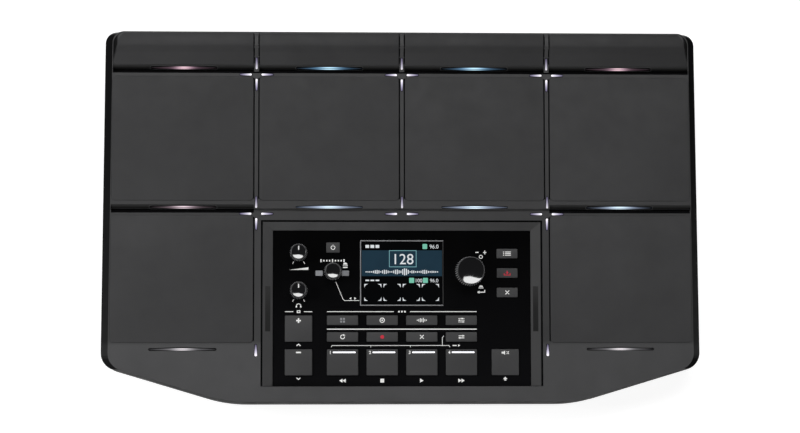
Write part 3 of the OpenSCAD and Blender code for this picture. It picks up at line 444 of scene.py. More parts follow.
FINISH = (
    (CASE, "top_case"), (LOWER, "bottom_case"), (SURROUND, "panel_surround"), (GLASS_BLACK, "control_panel"),
    (SCREEN, "lcd_window"), (INSIDE, "lcd_module switches rotary_bodies"), (BOARD, "panel_board main_board"),
    (FOAM, "pad_cushions"), (BRASS, "pad_sensors"), (FOOT, "rubber_feet"), (NICKEL, "case_screws"),
    (SOCKET, "rear_panel jack_sockets"), (STEEL, "pad_plates stand_plate port_sockets main_volume_shaft phones_shaft"),
    (STEEL, "metronome_shaft metronome_rotor value_shaft value_rotor"),
)
for material, node in ((m, n) for m, nodes in FINISH for n in nodes.split()):
    mesh = frame["nodes"][node].data
    mesh.materials.clear()
    mesh.materials.append(material)


# Mesh tools

WELD = 0.002
FLAT_ANGLE = radians(1)
SHARP_ANGLE = radians(30)
EDGE_STEPS = 4
SKY = 1000
NEAR = 0.05
INK = 0.06
BODIES = frame["record"]["behaviour"]["bodies"]
BODY_OF = {node: body for body, nodes in BODIES.items() for node in nodes}


def deck_points(node):
    """Points of a CAD node, in millimetres on the deck."""
    return [TO_DECK @ v.co for v in frame["nodes"][node].data.vertices]


def extent(points):
    return tuple(Vector([pick(values) for values in zip(*points)]) for pick in (min, max))


def deck_box(node):
    """Lowest and highest corner of a CAD node on the deck."""
    return extent(deck_points(node))


def middle_of(node):
    low, high = deck_box(node)
    return (low + high) / 2


def deck_mesh(node):
    """Welded mesh of a CAD node, in millimetres on the deck, with flat faces whole."""
    bm = bmesh.new()
    bm.from_mesh(frame["nodes"][node].data)
    bm.transform(TO_DECK)
    bmesh.ops.remove_doubles(bm, verts=bm.verts, dist=WELD)
    bmesh.ops.dissolve_limit(bm, angle_limit=FLAT_ANGLE, verts=bm.verts, edges=bm.edges)
    return bm


def solids(node):
    """Upper face of each solid of a node as its middle, its normal and its corner points."""
    bm = deck_mesh(node)
    left = set(bm.verts)
    found = []
    while left:
        group, queue = set(), [left.pop()]
        while queue:
            vert = queue.pop()
            group.add(vert)
            near = {e.other_vert(vert) for e in vert.link_edges} & left
            left -= near
            queue.extend(near)
        upper = max({f for v in group for f in v.link_faces}, key=lambda f: f.calc_area() * (f.normal.z > 0.3))
        found.append((upper.calc_center_bounds(), upper.normal.copy(), [v.co.copy() for v in upper.verts]))
    bm.free()
    return found


def skin_of(node):
    """Finder of the height of a CAD node over the deck at a place on it."""
    bm = deck_mesh(node)
    tree = BVHTree.FromBMesh(bm)
    bm.free()
    return lambda x, y: tree.ray_cast(Vector((x, y, SKY)), Vector((0, 0, -1)))[0].z


def piece(name, bm, body, materials, smooth=35, thickness=0.0):
    """Object from a mesh drawn on the deck, which rides on a body; flat work has a thickness, which goes down."""
    bm.transform(DECK)
    if not thickness:
        bmesh.ops.recalc_face_normals(bm, faces=bm.faces)
    mesh = filled_mesh(name, bm, materials)
    mesh.set_sharp_from_angle(angle=radians(smooth))
    mesh.polygons.foreach_set("use_smooth", [not thickness] * len(mesh.polygons))
    obj = placed(name, mesh)
    if thickness:
        solid = obj.modifiers.new("thickness", "SOLIDIFY")
        solid.thickness = thickness * MM
        solid.offset = -1
    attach(obj, body)
    return obj


def softened(node, material, radius, above, grow=()):
    """Piece in the place of a CAD node with the edges over a level rounded, and its sides moved outward."""
    bm = deck_mesh(node)
    low, high = deck_box(node)
    sharp = [
        e for e in bm.edges
        if e.is_manifold and e.calc_face_angle() > SHARP_ANGLE and min(v.co.z for v in e.verts) > above
    ]
    bmesh.ops.bevel(bm, geom=sharp, offset=radius, segments=EDGE_STEPS, profile=0.5, affect="EDGES")
    for vert in bm.verts:
        for i, (back, on) in enumerate(grow):
            t = (vert.co[i] - low[i]) / (high[i] - low[i])
            vert.co[i] += on * t - back * (1 - t)
        vert.co.z = min(vert.co.z, high.z)
    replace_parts(piece(f"{node}_skin", bm, BODY_OF[node], [material]), node)


def stack(bm, rings, capped=True):
    """Faces through rings of points from the lowest up; returns the rings of vertices."""
    made = [[bm.verts.new(p) for p in ring] for ring in rings]
    for low, high in zip(made, made[1:]):
        for i in range(len(low)):
            j = (i + 1) % len(low)
            bm.faces.new((low[i], low[j], high[j], high[i]))
    if capped:
        bm.faces.new(reversed(made[0]))
        bm.faces.new(made[-1])
    return made


def upward_face(bm, verts):
    face = bm.faces.new(verts)
    face.normal_update()
    if face.normal.z < 0:
        face.normal_flip()


def strip(bm, rows):
    """Faces that look up, over rows of two points; returns the rows of vertices."""
    made = [[bm.verts.new(p) for p in row] for row in rows]
    for a, b in zip(made, made[1:]):
        upward_face(bm, (a[0], a[1], b[1], b[0]))
    return made


def toned_strip(bm, rows, tones):
    layers = bm.verts.layers.float_color
    tint = layers.get("tint") or layers.new("tint")
    for row, tone in zip(strip(bm, rows), tones):
        for vert in row:
            vert[tint] = (*linear(tone), 1)


def arc(x, y, radius, start, end, steps):
    """Points of an arc round a place, from one angle to another in degrees."""
    angles = [radians(start + (end - start) * i / steps) for i in range(steps + 1)]
    return [Vector((x + radius * cos(a), y + radius * sin(a))) for a in angles]


# Pads, bars and caps: rounded edges, and how far the sides of the pads and bars move outward

PAD_EDGE = 0.25
BAR_EDGE = 0.5
CAP_EDGE = 0.3
PAD_CLOSE = 0.44
END_CLOSE = 0.3
PAD_OPEN = -0.1
OUTER_COLUMN = 240
CROWN = 0.1
BAR_FOOT = 0.5
for node in sorted(BODY_OF):
    low, high = deck_box(node)
    ribs = [END_CLOSE if abs(x) > OUTER_COLUMN else PAD_OPEN for x in (low.x, high.x)]
    grow = (ribs, (PAD_CLOSE, PAD_CLOSE))
    if node.startswith("main_pad"):
        softened(node, PAD, PAD_EDGE, high.z - CROWN, grow)
    elif node.startswith("bar_pad"):
        softened(node, BAR, BAR_EDGE, low.z + BAR_FOOT, grow)
    elif "_button" in node or node.startswith("loop_switch"):
        softened(node, CAP, CAP_EDGE, high.z - CROWN)


# Flat work

DIGIT_H = 0.73
MITRE_LIMIT = 0.3


def corners(x, y, w, d):
    return [(x + sx * w / 2, y + sy * d / 2) for sx, sy in CORNERS]


class Marks:
    """Flat shapes at a level of the deck, drawn from an origin and gathered into one thin piece."""

    def __init__(self, level=0, x=0, y=0):
        self.bm = bmesh.new()
        self.level = level + INK
        self.move(x, y)

    def move(self, x, y):
        self.x, self.y = x, y

    def area_3d(self, points):
        upward_face(self.bm, [self.bm.verts.new(p) for p in points])

    def area(self, points):
        self.area_3d([(self.x + p[0], self.y + p[1], self.level) for p in points])

    def bar(self, x, y, w, d):
        self.area(corners(x, y, w, d))

    def tablet(self, x, y, w, d, r):
        points = []
        for sx, sy, start in ((1, 1, 0), (-1, 1, 90), (-1, -1, 180), (1, -1, 270)):
            points += arc(x + sx * (w / 2 - r), y + sy * (d / 2 - r), r, start, start + 90, 4)
        self.area(points)

    def disc(self, x, y, r):
        self.area(arc(x, y, r, 0, 360, 24)[:-1])

    def dome(self, x, y, r):
        """Half disc over a short line, the sign for a push."""
        self.area(arc(x, y, r, 0, 180, 12))
        self.bar(x, y - 0.35 * r, 2.4 * r, 0.3 * r)

    def wedge(self, x, y, w, d):
        """Triangle that points right, or left with a negative width."""
        self.area([(x - w / 2, y - d / 2), (x - w / 2, y + d / 2), (x + w / 2, y)])

    def line(self, points, width, closed=False):
        """Ribbon along points with mitred corners."""
        points = [Vector(p[:2]) for p in points]
        count = len(points)
        sides = []
        for i, p in enumerate(points):
            before = points[i - 1] if i or closed else p * 2 - points[1]
            after = points[(i + 1) % count] if i < count - 1 or closed else p * 2 - points[-2]
            normals = [Vector((b.y - a.y, a.x - b.x)).normalized() for a, b in ((before, p), (p, after))]
            mitre = (normals[0] + normals[1]).normalized()
            reach = width / 2 / max(mitre.dot(normals[0]), MITRE_LIMIT)
            sides.append((p - mitre * reach, p + mitre * reach))
        for i in range(count if closed else count - 1):
            (a, b), (c, d) = sides[i], sides[(i + 1) % count]
            self.area([a, c, d, b])

    def ring(self, x, y, r, width, start=0, end=360):
        points = arc(x, y, r, start, end, 24)
        whole = end - start == 360
        self.line(points[:-1] if whole else points, width, whole)

    def frame(self, x, y, w, d, width):
        self.line(corners(x, y, w, d), width, True)

    def digits(self, text, x, y, size, bold=0.0):
        curve = bpy.data.curves.new("digits", "FONT")
        curve.body = text
        curve.size = size / DIGIT_H
        curve.offset = bold
        curve.align_x = "CENTER"
        holder = placed("digits", curve)
        mesh = bpy.data.meshes.new_from_object(holder.evaluated_get(bpy.context.evaluated_depsgraph_get()))
        mesh.transform(Matrix.Translation((self.x + x, self.y + y - size / 2, self.level)))
        self.bm.from_mesh(mesh)
        bpy.data.curves.remove(curve)
        bpy.data.meshes.remove(mesh)

    def piece(self, name, slot, material, body="case"):
        piece(name, self.bm, body, [material], thickness=INK)


# Lights

# For each kind of lens, its colours in the middle and beside it, the reach of its bright spot and its least glow
LENS_KINDS = {
    "rose": ((234, 198, 208), (234, 187, 212), 5.3, 0.006),
    "sky": ((192, 231, 248), (137, 198, 250), 7.5, 0.006),
    "blush": ((216, 198, 206), (214, 186, 200), 6.7, 0.012),
    "ice": ((214, 235, 247), (192, 209, 243), 8.4, 0.02),
    "frost": ((213, 234, 246), (192, 209, 243), 8.8, 0.12),
    "pale": ((228, 222, 226), (214, 212, 218), 6.5, 0.05),
}
LENS_ORDER = ("rose", "sky", "sky", "rose", "blush", "frost", "frost", "ice", "pale", "pale")
# For each ring of a lens, its share of the outline, its rise and its glow
LENS_RINGS = ((1, -0.5, 0), (1, 0, 0.1), (0.8, 0.36, 0.6), (0.55, 0.7, 1.5), (0.3, 0.91, 1.7))
LENS_DOME = 0.5
LENS_STEPS = 96
LENS_HEIGHT = 0.9
LENS_TAPER = 0.06
LENS_POINT = 0.3
LENS_TAIL = (15.0, 0.07)
LENS_SHIFT = 0.7
SLOT_REACH = 29.2
FLAT_SLOT = 1.1
SLOPE_SLOT = 1.7
SLOPED = 0.1
LENS_EDGE = 0.3
EDGE_DEPTH = 0.08
SLOT_DEPTH = 0.02
# For each ring of an arm, its share of the width and its rise
ARM_RINGS = ((1, -2.5), (1, 0), (0.7, 0.6), (0.35, 1))
ARM_DOME = 0.2
ARM_ROOT = (255, 252, 255)
ARM_TIP = (176, 166, 214)
ARM_GLOW = 1.1
ARM_LEAST = 0.1
FRONT_FADE = 0.6
ARM_FADE = 1.2
REAR_ARM = 0.6
ARM_SLIM = 0.8
ARM_BLUNT = 1.1
ARM_SHIFT = 0.45
SINGLE_ARMS = -100
RIM_W = 0.5
RIM_DEPTH = 0.05


def light_layers(bm):
    return bm.verts.layers.float_color.new("tint"), bm.verts.layers.float.new("glow")


def mixed(first, last, t):
    return (*(a + (b - a) * t for a, b in zip(first, last)), 1)


def long_outline(length, wide, narrow, grow=0.0):
    """Long shape with round ends of two widths, as points along and across it from its wide end."""
    inner = arc(wide / 2, 0, wide / 2 + grow, 90, 270, 8)
    return inner + arc(length - narrow / 2, 0, narrow / 2 + grow, -90, 90, 8)


def lens_lights():
    """Domed lenses in dark slots, brightest in the middle, in rows from the rear to the front."""
    bm = bmesh.new()
    tint, glow = light_layers(bm)
    edges, slots = Marks(), Marks()
    ranked = sorted(solids("pad_lights"), key=lambda s: (-round(s[0].y / 10), s[0].x))
    turns = [tau * i / LENS_STEPS for i in range(LENS_STEPS)]
    across = Vector((1, 0, 0))
    for (middle, normal, corners), kind in zip(ranked, LENS_ORDER):
        core, halo, size, dim = LENS_KINDS[kind]
        along = normal.cross(across)
        half_w = max((p - middle).dot(across) for p in corners)
        half_h = LENS_HEIGHT * max((p - middle).dot(along) for p in corners)
        middle = middle - along * LENS_SHIFT
        half = FLAT_SLOT if abs(normal.y) < SLOPED else SLOPE_SLOT
        for marks, more, depth in ((edges, LENS_EDGE, EDGE_DEPTH), (slots, 0, SLOT_DEPTH)):
            outline = long_outline(2 * SLOT_REACH, 2 * half, 2 * half, more)
            marks.area_3d([middle + across * (p.x - SLOT_REACH) + along * p.y - normal * depth for p in outline])
        rings = []
        for share, rise, _ in LENS_RINGS:
            reach = half_w * (1 - LENS_TAPER + LENS_TAPER * share)
            height = half_h * share
            rings.append([
                middle + across * reach * cos(a)
                + along * height * sin(a) * abs(sin(a)) ** LENS_POINT + normal * LENS_DOME * rise
                for a in turns
            ])
        for ring, (_, _, level) in zip(stack(bm, rings), LENS_RINGS):
            for vert in ring:
                aside = (vert.co - middle).dot(across)
                spot = 0.5 ** ((aside / size) ** 2)
                tail = LENS_TAIL[1] * 0.5 ** ((aside / LENS_TAIL[0]) ** 2)
                vert[tint] = mixed(linear(*halo), linear(*core), spot)
                vert[glow] = (spot + tail) * level + dim
    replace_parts(piece("lens_lights", bm, "case", [LENS], smooth=60), "pad_lights")
    edges.piece("lens_edges", "pad_light", EDGE_GREY)
    slots.piece("lens_slots", "pad_light", SLOT_AND_SHADE_BLACK)


def star_arms():
    """Each arm of the stars as its wide end, its two axes, its length and its two widths."""
    for middle, normal, corners in solids("star_lights"):
        reach = [max(abs(p[i] - middle[i]) for p in corners) for i in (0, 1)]
        long = reach.index(max(reach))
        ends = []
        for sign in (-1, 1):
            side = [p[1 - long] - middle[1 - long] for p in corners if (p[long] - middle[long]) * sign > 0]
            ends.append((max(side) - min(side), sign))
        (narrow, sign), (wide, _) = sorted(ends)
        narrow *= ARM_BLUNT
        if long == 0:
            middle.y -= ARM_SHIFT
        if middle.y > SINGLE_ARMS:
            wide *= ARM_SLIM
        else:
            sign = -sign
        along = Vector((sign if i == long else 0 for i in range(3)))
        yield middle - along * reach[long], along, normal.cross(along), 2 * reach[long], wide, narrow


def star_lights():
    """Arms that fade outward, each in a rim of painted shade."""
    bm = bmesh.new()
    tint, glow = light_layers(bm)
    rims = Marks()
    for start, along, across, length, wide, narrow in star_arms():
        outline = long_outline(length, wide, narrow)
        strength = ARM_GLOW * (REAR_ARM if along.y > 0.5 and start.y > 0 else 1)
        fade = FRONT_FADE if along.y < -0.5 else ARM_FADE
        lift = along.cross(across)
        rings = [
            [start + along * p.x + across * p.y * share + lift * ARM_DOME * rise for p in outline]
            for share, rise in ARM_RINGS
        ]
        for ring in stack(bm, rings):
            for vert, p in zip(ring, outline):
                t = min(max(p.x / length, 0), 1)
                vert[tint] = mixed(linear(*ARM_ROOT), linear(*ARM_TIP), t)
                vert[glow] = ARM_LEAST + strength * (1 - t) ** fade
        # Painted shade: a black rim under the edge of each arm
        low = start - lift * (ARM_DOME - RIM_DEPTH)
        rims.area_3d([low + along * p.x + across * p.y for p in long_outline(length, wide, narrow, RIM_W)])
    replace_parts(piece("star_arms", bm, "case", [STAR], smooth=60), "star_lights")
    rims.piece("star_rim_shade", "surround", SLOT_AND_SHADE_BLACK)


# Strips of painted light and shade over slopes, grooves, gaps and recesses, and the dark seam round the surround

STEP = 0.05
STEP_START = 1
STEP_COUNT = 60
STEP_LEAST = 0.02
STEP_HALF = 56
STEP_SHIFT = 0.1
STEP_LIFT = 0.05
# Painted light: tones of the pale strip over the low step
STEP_TONES = (80, 80)
RIB_COUNT = 90
RIB_LEAST = 0.3
# Width of the black strip of painted shade on the rib's edge before a groove
RIB_SHADE = 1.3
GROOVE_X = 70
GROOVE_Y = (-4.6, -1.6)
GROOVE_DEPTH = 8
SLOPE_SINK = 0.2
# Painted shade: tones down the sloped faces
SLOPE_TONES = (58, 50, 34, 13, 4)
GAP_W = (0.05, 1.0)
GAP_ROWS = 12
GAP_END = 1
GAP_PROBE = 0.2
SEAM_W = 1.6
# Painted shade: tones down each side of the surround's recess, left then right
RECESS_TONES = ((58, 52, 47, 44, 42), (52, 42, 34, 30, 28))
RECESS_X = (113.8, 118.2)
RECESS_Y = (-57.0, -96.0)


def ahead_of(middle, case_top, count):
    """Places in small steps forward from a light, and the height of the case at each."""
    steps = [middle.y - STEP_START - STEP * k for k in range(count)]
    return steps, [case_top(middle.x, y) for y in steps]


def slopes_and_grooves():
    """Painted shade on the faces of the sloped lights, darker downward, and black painted shade on the grooves in
    front of them and on the edge of the rib beyond.

    The low step in front of each flat light of the rear row is drawn as a pale strip, painted light over the step's
    shadow.
    """
    points = deck_points("top_case")
    case_top = skin_of("top_case")
    grooves, slopes = Marks(), bmesh.new()
    for middle, normal, _ in solids("pad_lights"):
        if normal.y > -SLOPED:
            if middle.y > 0:
                steps, heights = ahead_of(middle, case_top, STEP_COUNT)
                falls = [k for k, (a, b) in enumerate(zip(heights, heights[1:])) if a - b > STEP_LEAST]
                rows = []
                for k in (falls[0], falls[-1] + 1):
                    y, z = steps[k] - STEP_SHIFT, heights[k] + STEP_LIFT
                    rows.append([(middle.x + s * STEP_HALF, y, z) for s in (-1, 1)])
                toned_strip(slopes, rows, STEP_TONES)
            continue
        near = [p for p in points if abs(p.x - middle.x) < GROOVE_X and GROOVE_Y[0] < p.y - middle.y < GROOVE_Y[1]]
        floor = min(p.z for p in near if p.z > middle.z - GROOVE_DEPTH)
        low, high = extent([p for p in near if p.z < floor + NEAR])
        steps, heights = ahead_of(middle, case_top, RIB_COUNT)
        rib = next(y for y, a, b in zip(steps[1:], heights, heights[1:]) if b - a > RIB_LEAST)
        rib_top = case_top(middle.x, rib - RIB_SHADE / 2) + INK
        for front, rear, level in ((low.y, high.y, floor), (rib - RIB_SHADE, rib, rib_top)):
            grooves.area_3d([(x, y, level + INK) for x, y in
                             ((low.x, front), (high.x, front), (high.x, rear), (low.x, rear))])
        down = Vector((0, -normal.z, normal.y))
        half = (middle.y - high.y) / normal.z
        base = middle + normal * (INK - SLOPE_SINK)
        rows = []
        for k in range(len(SLOPE_TONES)):
            edge = base + down * half * (k / 2 - 1)
            rows.append([(x, edge.y, edge.z) for x in (low.x, high.x)])
        toned_strip(slopes, rows, SLOPE_TONES)
    grooves.piece("groove_floors", "surround", SLOT_AND_SHADE_BLACK)
    piece("slope_faces", slopes, "case", [SHADE], thickness=INK)


def gap_seals():
    """Painted shade: dark strips over the gaps between the pads and bars and the ribs at their sides."""
    case_top = skin_of("top_case")
    bm = bmesh.new()
    for node in BODY_OF:
        if not node.startswith(("main_pad", "bar_pad")):
            continue
        low, high = deck_box(node)
        for edge, sign in ((low.x, -1), (high.x, 1)):
            if abs(edge) > OUTER_COLUMN:
                continue
            rows = []
            for k in range(GAP_ROWS + 1):
                y = low.y + GAP_END + (high.y - low.y - 2 * GAP_END) * k / GAP_ROWS
                z = case_top(edge + sign * (GAP_W[1] - GAP_PROBE), y) + INK
                rows.append([(edge + sign * x, y, z) for x in GAP_W[::sign]])
            strip(bm, rows)
    piece("gap_seals", bm, "case", [SLOT_AND_SHADE_BLACK], thickness=INK)


def surround_seams():
    """Dark seam round the surround, and painted shade on the recess at each of its sides."""
    low, high = deck_box("panel_surround")
    seam = Marks(high.z)
    seam.line([(low.x, low.y), (low.x, high.y), (high.x, high.y), (high.x, low.y)], SEAM_W)
    seam.piece("surround_seam", "surround", SLOT_AND_SHADE_BLACK)
    top = skin_of("panel_surround")
    recess = bmesh.new()
    rear, front = RECESS_Y
    for side, tones in zip((-1, 1), RECESS_TONES):
        rows = []
        for k in range(len(tones)):
            y = rear + (front - rear) * k / (len(tones) - 1)
            rows.append([(side * x, y, top(side * x, y) + INK) for x in RECESS_X])
        toned_strip(recess, rows, tones)
    piece("surround_recesses", recess, "case", [SHADE], thickness=INK)


lens_lights()
star_lights()
slopes_and_grooves()
gap_seals()
surround_seams()


# Knobs

# Points of a knob's wall as radius, height and share of the flutes, from its foot and then from the rim of its top
FOOT_WALL = ((0, 0, 1), (0, 1.1, 1), (-0.25, 1.4, 1))
RIM_WALL = ((0.3, -1, 0.5), (0.1, -0.7, 0), (0, -0.4, 0), (-0.15, -0.1, 0), (-0.3, 0, 0))
PLAIN_RING = 4
LIGHT_RING = 5
RIM = 0.8
RIM_IN = 0.45
FLUTE = 0.9
FLUTE_STEPS = 6
FLUTES = {"main_volume": 34, "phones": 34, "metronome": 34, "value": 40}
DISH_EDGE = 0.06
DISH_STEPS = 12
DISH_HOLE = 0.2
DISH_BEND = 0.23
DISH_SLOPES = (0.12, 0.278)
POINTER_W = 0.96
POINTER_SPAN = (0.26, 0.54)
POINTER_STEPS = 8


def dish_drop(t):
    """Depth of a dish below its rim, at a share of its radius, as a share of that radius."""
    inner, outer = DISH_SLOPES
    rise = (outer - inner) / (1 - DISH_BEND)
    at_bend = inner * (1 - DISH_BEND) + rise * (1 - DISH_BEND) ** 2 / 2
    if t < DISH_BEND:
        return at_bend + inner * (DISH_BEND ** 2 - t ** 2) / (2 * DISH_BEND)
    return inner * (1 - t) + rise * ((1 - DISH_BEND) ** 2 - (t - DISH_BEND) ** 2) / 2


def knob(name, flutes, pointer=False):
    """Fluted knob with a thin rim and a polished, dished top."""
    node, body = f"{name}_knob", f"{name}_control"
    low, high = deck_box(node)
    hub = (low + high) / 2
    skirt = (high.x - low.x) / 2
    rim = max((p - hub).xy.length for p in deck_points(node) if p.z > high.z - NEAR) + RIM
    dish = rim - RIM_IN
    profile = [(skirt + r, low.z + z, share) for r, z, share in FOOT_WALL]
    profile += [(rim + r, high.z + z, share) for r, z, share in RIM_WALL]
    polished_ring = len(profile)
    profile.append((dish, high.z - DISH_EDGE, 0))
    for k in range(1, DISH_STEPS + 1):
        t = 1 - k / (DISH_STEPS + DISH_HOLE)
        profile.append((dish * t, high.z - DISH_EDGE - dish * dish_drop(t), 0))
    count = flutes * FLUTE_STEPS
    turns = [tau * i / count for i in range(count)]
    bm = bmesh.new()
    rings = []
    for r, z, share in profile:
        radii = [r - FLUTE * share * abs(sin(a * flutes / 2)) for a in turns]
        rings.append([(hub.x + q * cos(a), hub.y + q * sin(a), z) for q, a in zip(radii, turns)])
    ring_of = {v: i for i, ring in enumerate(stack(bm, rings)) for v in ring}
    # Flute crests take a painted highlight, grooves and one band of the rim wall painted shade, and the dish its
    # polished top
    for face in bm.faces:
        ring = min(ring_of[v] for v in face.verts)
        spot = face.calc_center_median() - hub
        groove = abs(sin(atan2(spot.y, spot.x) * flutes / 2)) > 0.5
        if ring >= polished_ring:
            face.material_index = 1
        elif ring < PLAIN_RING:
            face.material_index = 2 if groove else 3
        elif ring < LIGHT_RING:
            face.material_index = 2
    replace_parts(piece(f"{node}_skin", bm, body,
                      [KNOB, KNOB_TOP, KNOB_SHADE, KNOB_CREST_HIGHLIGHT], smooth=50), node)
    if pointer:
        bm = bmesh.new()
        rows = []
        for k in range(POINTER_STEPS + 1):
            t = POINTER_SPAN[0] + POINTER_SPAN[1] * k / POINTER_STEPS
            z = high.z - DISH_EDGE - dish * dish_drop(t) + INK
            rows.append([(hub.x + s * POINTER_W / 2, hub.y + dish * t, z) for s in (-1, 1)])
        strip(bm, rows)
        piece(f"{name}_pointer", bm, body, [WHITE_INK], thickness=INK)


for name, flutes in FLUTES.items():
    knob(name, flutes, pointer=name in ("main_volume", "phones"))


# Screen, measured from its middle

SCREEN_BORDER = 1.35
BEZEL_W = 0.95
BEZEL_H = 0.45
# Rings of the bezel as distance inward and rise
BEZEL_RINGS = ((0, -0.3), (0, 0.25), (0.25, BEZEL_H), (BEZEL_W - 0.5, BEZEL_H), (BEZEL_W, 0.02))
BEZEL_SKIN = 0.2
BAND_H = 22.4
BAND_DROP = 7.4
NUMBER_BOX = (0.8, 12.4, 23.3, 14.1)
NUMBER_LINE = 0.5
NUMBER_H = 9.4
TRACE_BARS = 40
TRACE_HALF = 31
TRACE_Y = 1
HEADER_DROP = 4
FIGURES_Y = -6.4
FIGURE_X = 28
DASHES_X = (-30, -25.6, -21.2)
SLOTS = 4
SLOT_MIDDLE = (-0.2, -16.8)
SLOT_W = 14.8
SLOT_D = 14.6
SLOT_PITCH = 16.65
BRACKET = 3.2


def screen():
    """Generic display: a number in a box, a level trace, small figures and four empty slots."""
    low, high = deck_box("lcd_window")
    x, y, _ = (low + high) / 2
    w, d = high.x - low.x, high.y - low.y
    bezel = bmesh.new()
    rings = [
        [(*p, high.z + rise) for p in corners(x, y, w - 2 * inset, d - 2 * inset)] for inset, rise in BEZEL_RINGS
    ]
    stack(bezel, rings, capped=False)
    # The bezel's right side takes painted shade
    for face in bezel.faces:
        face.material_index = int(face.calc_center_median().x > high.x - BEZEL_W)
    piece("screen_bezel", bezel, "case", [BEZEL, BEZEL_SHADE], thickness=BEZEL_SKIN)

    top = d / 2 - SCREEN_BORDER
    header = top - HEADER_DROP
    band = Marks(high.z, x, y)
    band.bar(0, top - BAND_DROP - BAND_H / 2, w - 2 * SCREEN_BORDER, BAND_H)
    band.piece("screen_band", "screen", SCREEN_BLUE)
    box = Marks(high.z + INK, x, y)
    box.frame(*NUMBER_BOX, NUMBER_LINE)
    box.piece("screen_box", "screen", SCREEN_TEAL)

    white = Marks(high.z + INK, x, y)
    white.digits("128", *NUMBER_BOX[:2], NUMBER_H)
    for i in range(TRACE_BARS):
        t = i / (TRACE_BARS - 1)
        height = 1 + 5.2 * abs(sin(9 * t) * sin(pi * t) * cos(23 * t))
        white.bar(TRACE_HALF * (2 * t - 1), TRACE_Y, 0.9, height)
    white.digits("96.0", FIGURE_X, header, 3.4)
    white.digits("100", 14.5, FIGURES_Y, 3.2)
    white.digits("96.0", FIGURE_X, FIGURES_Y, 3.2)
    for dash in DASHES_X:
        white.bar(dash, header, 3.2, 2.6)
        white.bar(dash, FIGURES_Y, 3.2, 1.2)
    for i in range(SLOTS):
        slot = SLOT_MIDDLE[0] + (i - (SLOTS - 1) / 2) * SLOT_PITCH
        for (u, v), (cx, cy) in zip(CORNERS, corners(slot, SLOT_MIDDLE[1], SLOT_W, SLOT_D)):
            white.area([(cx, cy), (cx - u * BRACKET, cy), (cx - u * BRACKET / 3, cy - v * BRACKET / 3),
                        (cx, cy - v * BRACKET)])
    white.piece("screen_figures", "screen", SCREEN_WHITE)
    icons = Marks(high.z + INK, x, y)
    icons.tablet(20, header, 4, 4.4, 0.6)
    for place in (8.5, 20.4):
        icons.tablet(place, FIGURES_Y, 4.4, 4.4, 0.6)
    icons.piece("screen_icons", "screen", SCREEN_GREEN)


# Printing on the panel and its controls

LINE = 0.62
MIDDLE_LINE = 0.8
RAIL = 0.45
BRANCH = 0.5
PAGE_LINE = 0.42
SIGN_LINE = 0.7
HEADER_RISE = 3.4
HEADER_GAP = 7
KIT_GAP = 4.6
STOP_TURN = 28
STOP_SPAN = (8.9, 11.2)
BEATS = 9
LAMP_INSET = 2.6


class Cap:
    """Top of a cap: its middle, its level and its edges."""

    def __init__(self, node):
        points = deck_points(node)
        low, high = extent(points)
        start, end = extent([p for p in points if p.z > high.z - NEAR])
        self.x, self.y, _ = (low + high) / 2
        self.level = high.z
        self.left, self.right = (self.x + s * (end.x - start.x) / 2 for s in (-1, 1))
        self.front, self.rear = (self.y + s * (end.y - start.y) / 2 for s in (-1, 1))


def row_printing(white):
    """Lines over the rows of buttons, the rail of the loop switches and the signs under the caps."""
    mode, looper, loop = (
        [Cap(f"{name}_{i}") for i in range(1, 5)] for name in ("mode_button", "looper_button", "loop_switch")
    )
    kit_up, kit_down, off = (Cap(f"{name}_button") for name in ("kit_up", "kit_down", "sound_off"))
    left, right = mode[0].left, mode[3].right
    header = mode[0].rear + HEADER_RISE
    for a, b in ((left, -HEADER_GAP), (HEADER_GAP, right), (kit_up.left, kit_up.x - KIT_GAP),
                 (kit_up.x + KIT_GAP, kit_up.right)):
        white.bar((a + b) / 2, header, b - a, LINE)
    for i in (-1, 0, 1):
        white.disc(i * 2.6, header, 0.8)
    white.frame(kit_up.x, header, 2.4, 1.6, SIGN_LINE)
    white.bar((left + right) / 2, (mode[0].y + looper[0].y) / 2 - 0.45, right - left, MIDDLE_LINE)

    rail = (looper[0].front + loop[0].rear) / 2
    first, second, third, last = (cap.left + 3.6 for cap in loop)
    white.line([(first, rail - 1.4), (first + 0.8, rail), (last - 0.8, rail), (last, rail - 1.4)], RAIL)
    for stop in (second, third):
        white.bar(stop, rail - 0.9, BRANCH, 1.3)
    branch, level = looper[3].left - 3, looper[3].y
    white.line([(branch, rail + 0.22), (branch, level - 0.6), (branch + 1.4, level + 1)], BRANCH)
    white.bar(last + 4, rail, 3.6, 0.9)
    white.wedge(last + 8, rail, 2, 2)

    below = loop[0].front - 4.6
    for cap, turn in ((loop[0], -1), (loop[3], 1)):
        for shift in (-1.4, 1.4):
            white.wedge(cap.x + shift, below, 2.8 * turn, 3.4)
    white.bar(loop[1].x, below, 3.3, 3.3)
    white.wedge(loop[2].x, below, 3.2, 3.6)
    for cap, turn in ((kit_up, 1), (kit_down, -1)):
        white.move(cap.x, cap.front - 2.8)
        white.line([(-1.7, -0.7 * turn), (0, 0.7 * turn), (1.7, -0.7 * turn)], 0.8)
    white.move(off.x, off.front - 3.4)
    white.area([(-2, 0), (2, 0), (0, 2)])
    white.bar(0, -0.7, 1.8, 1)


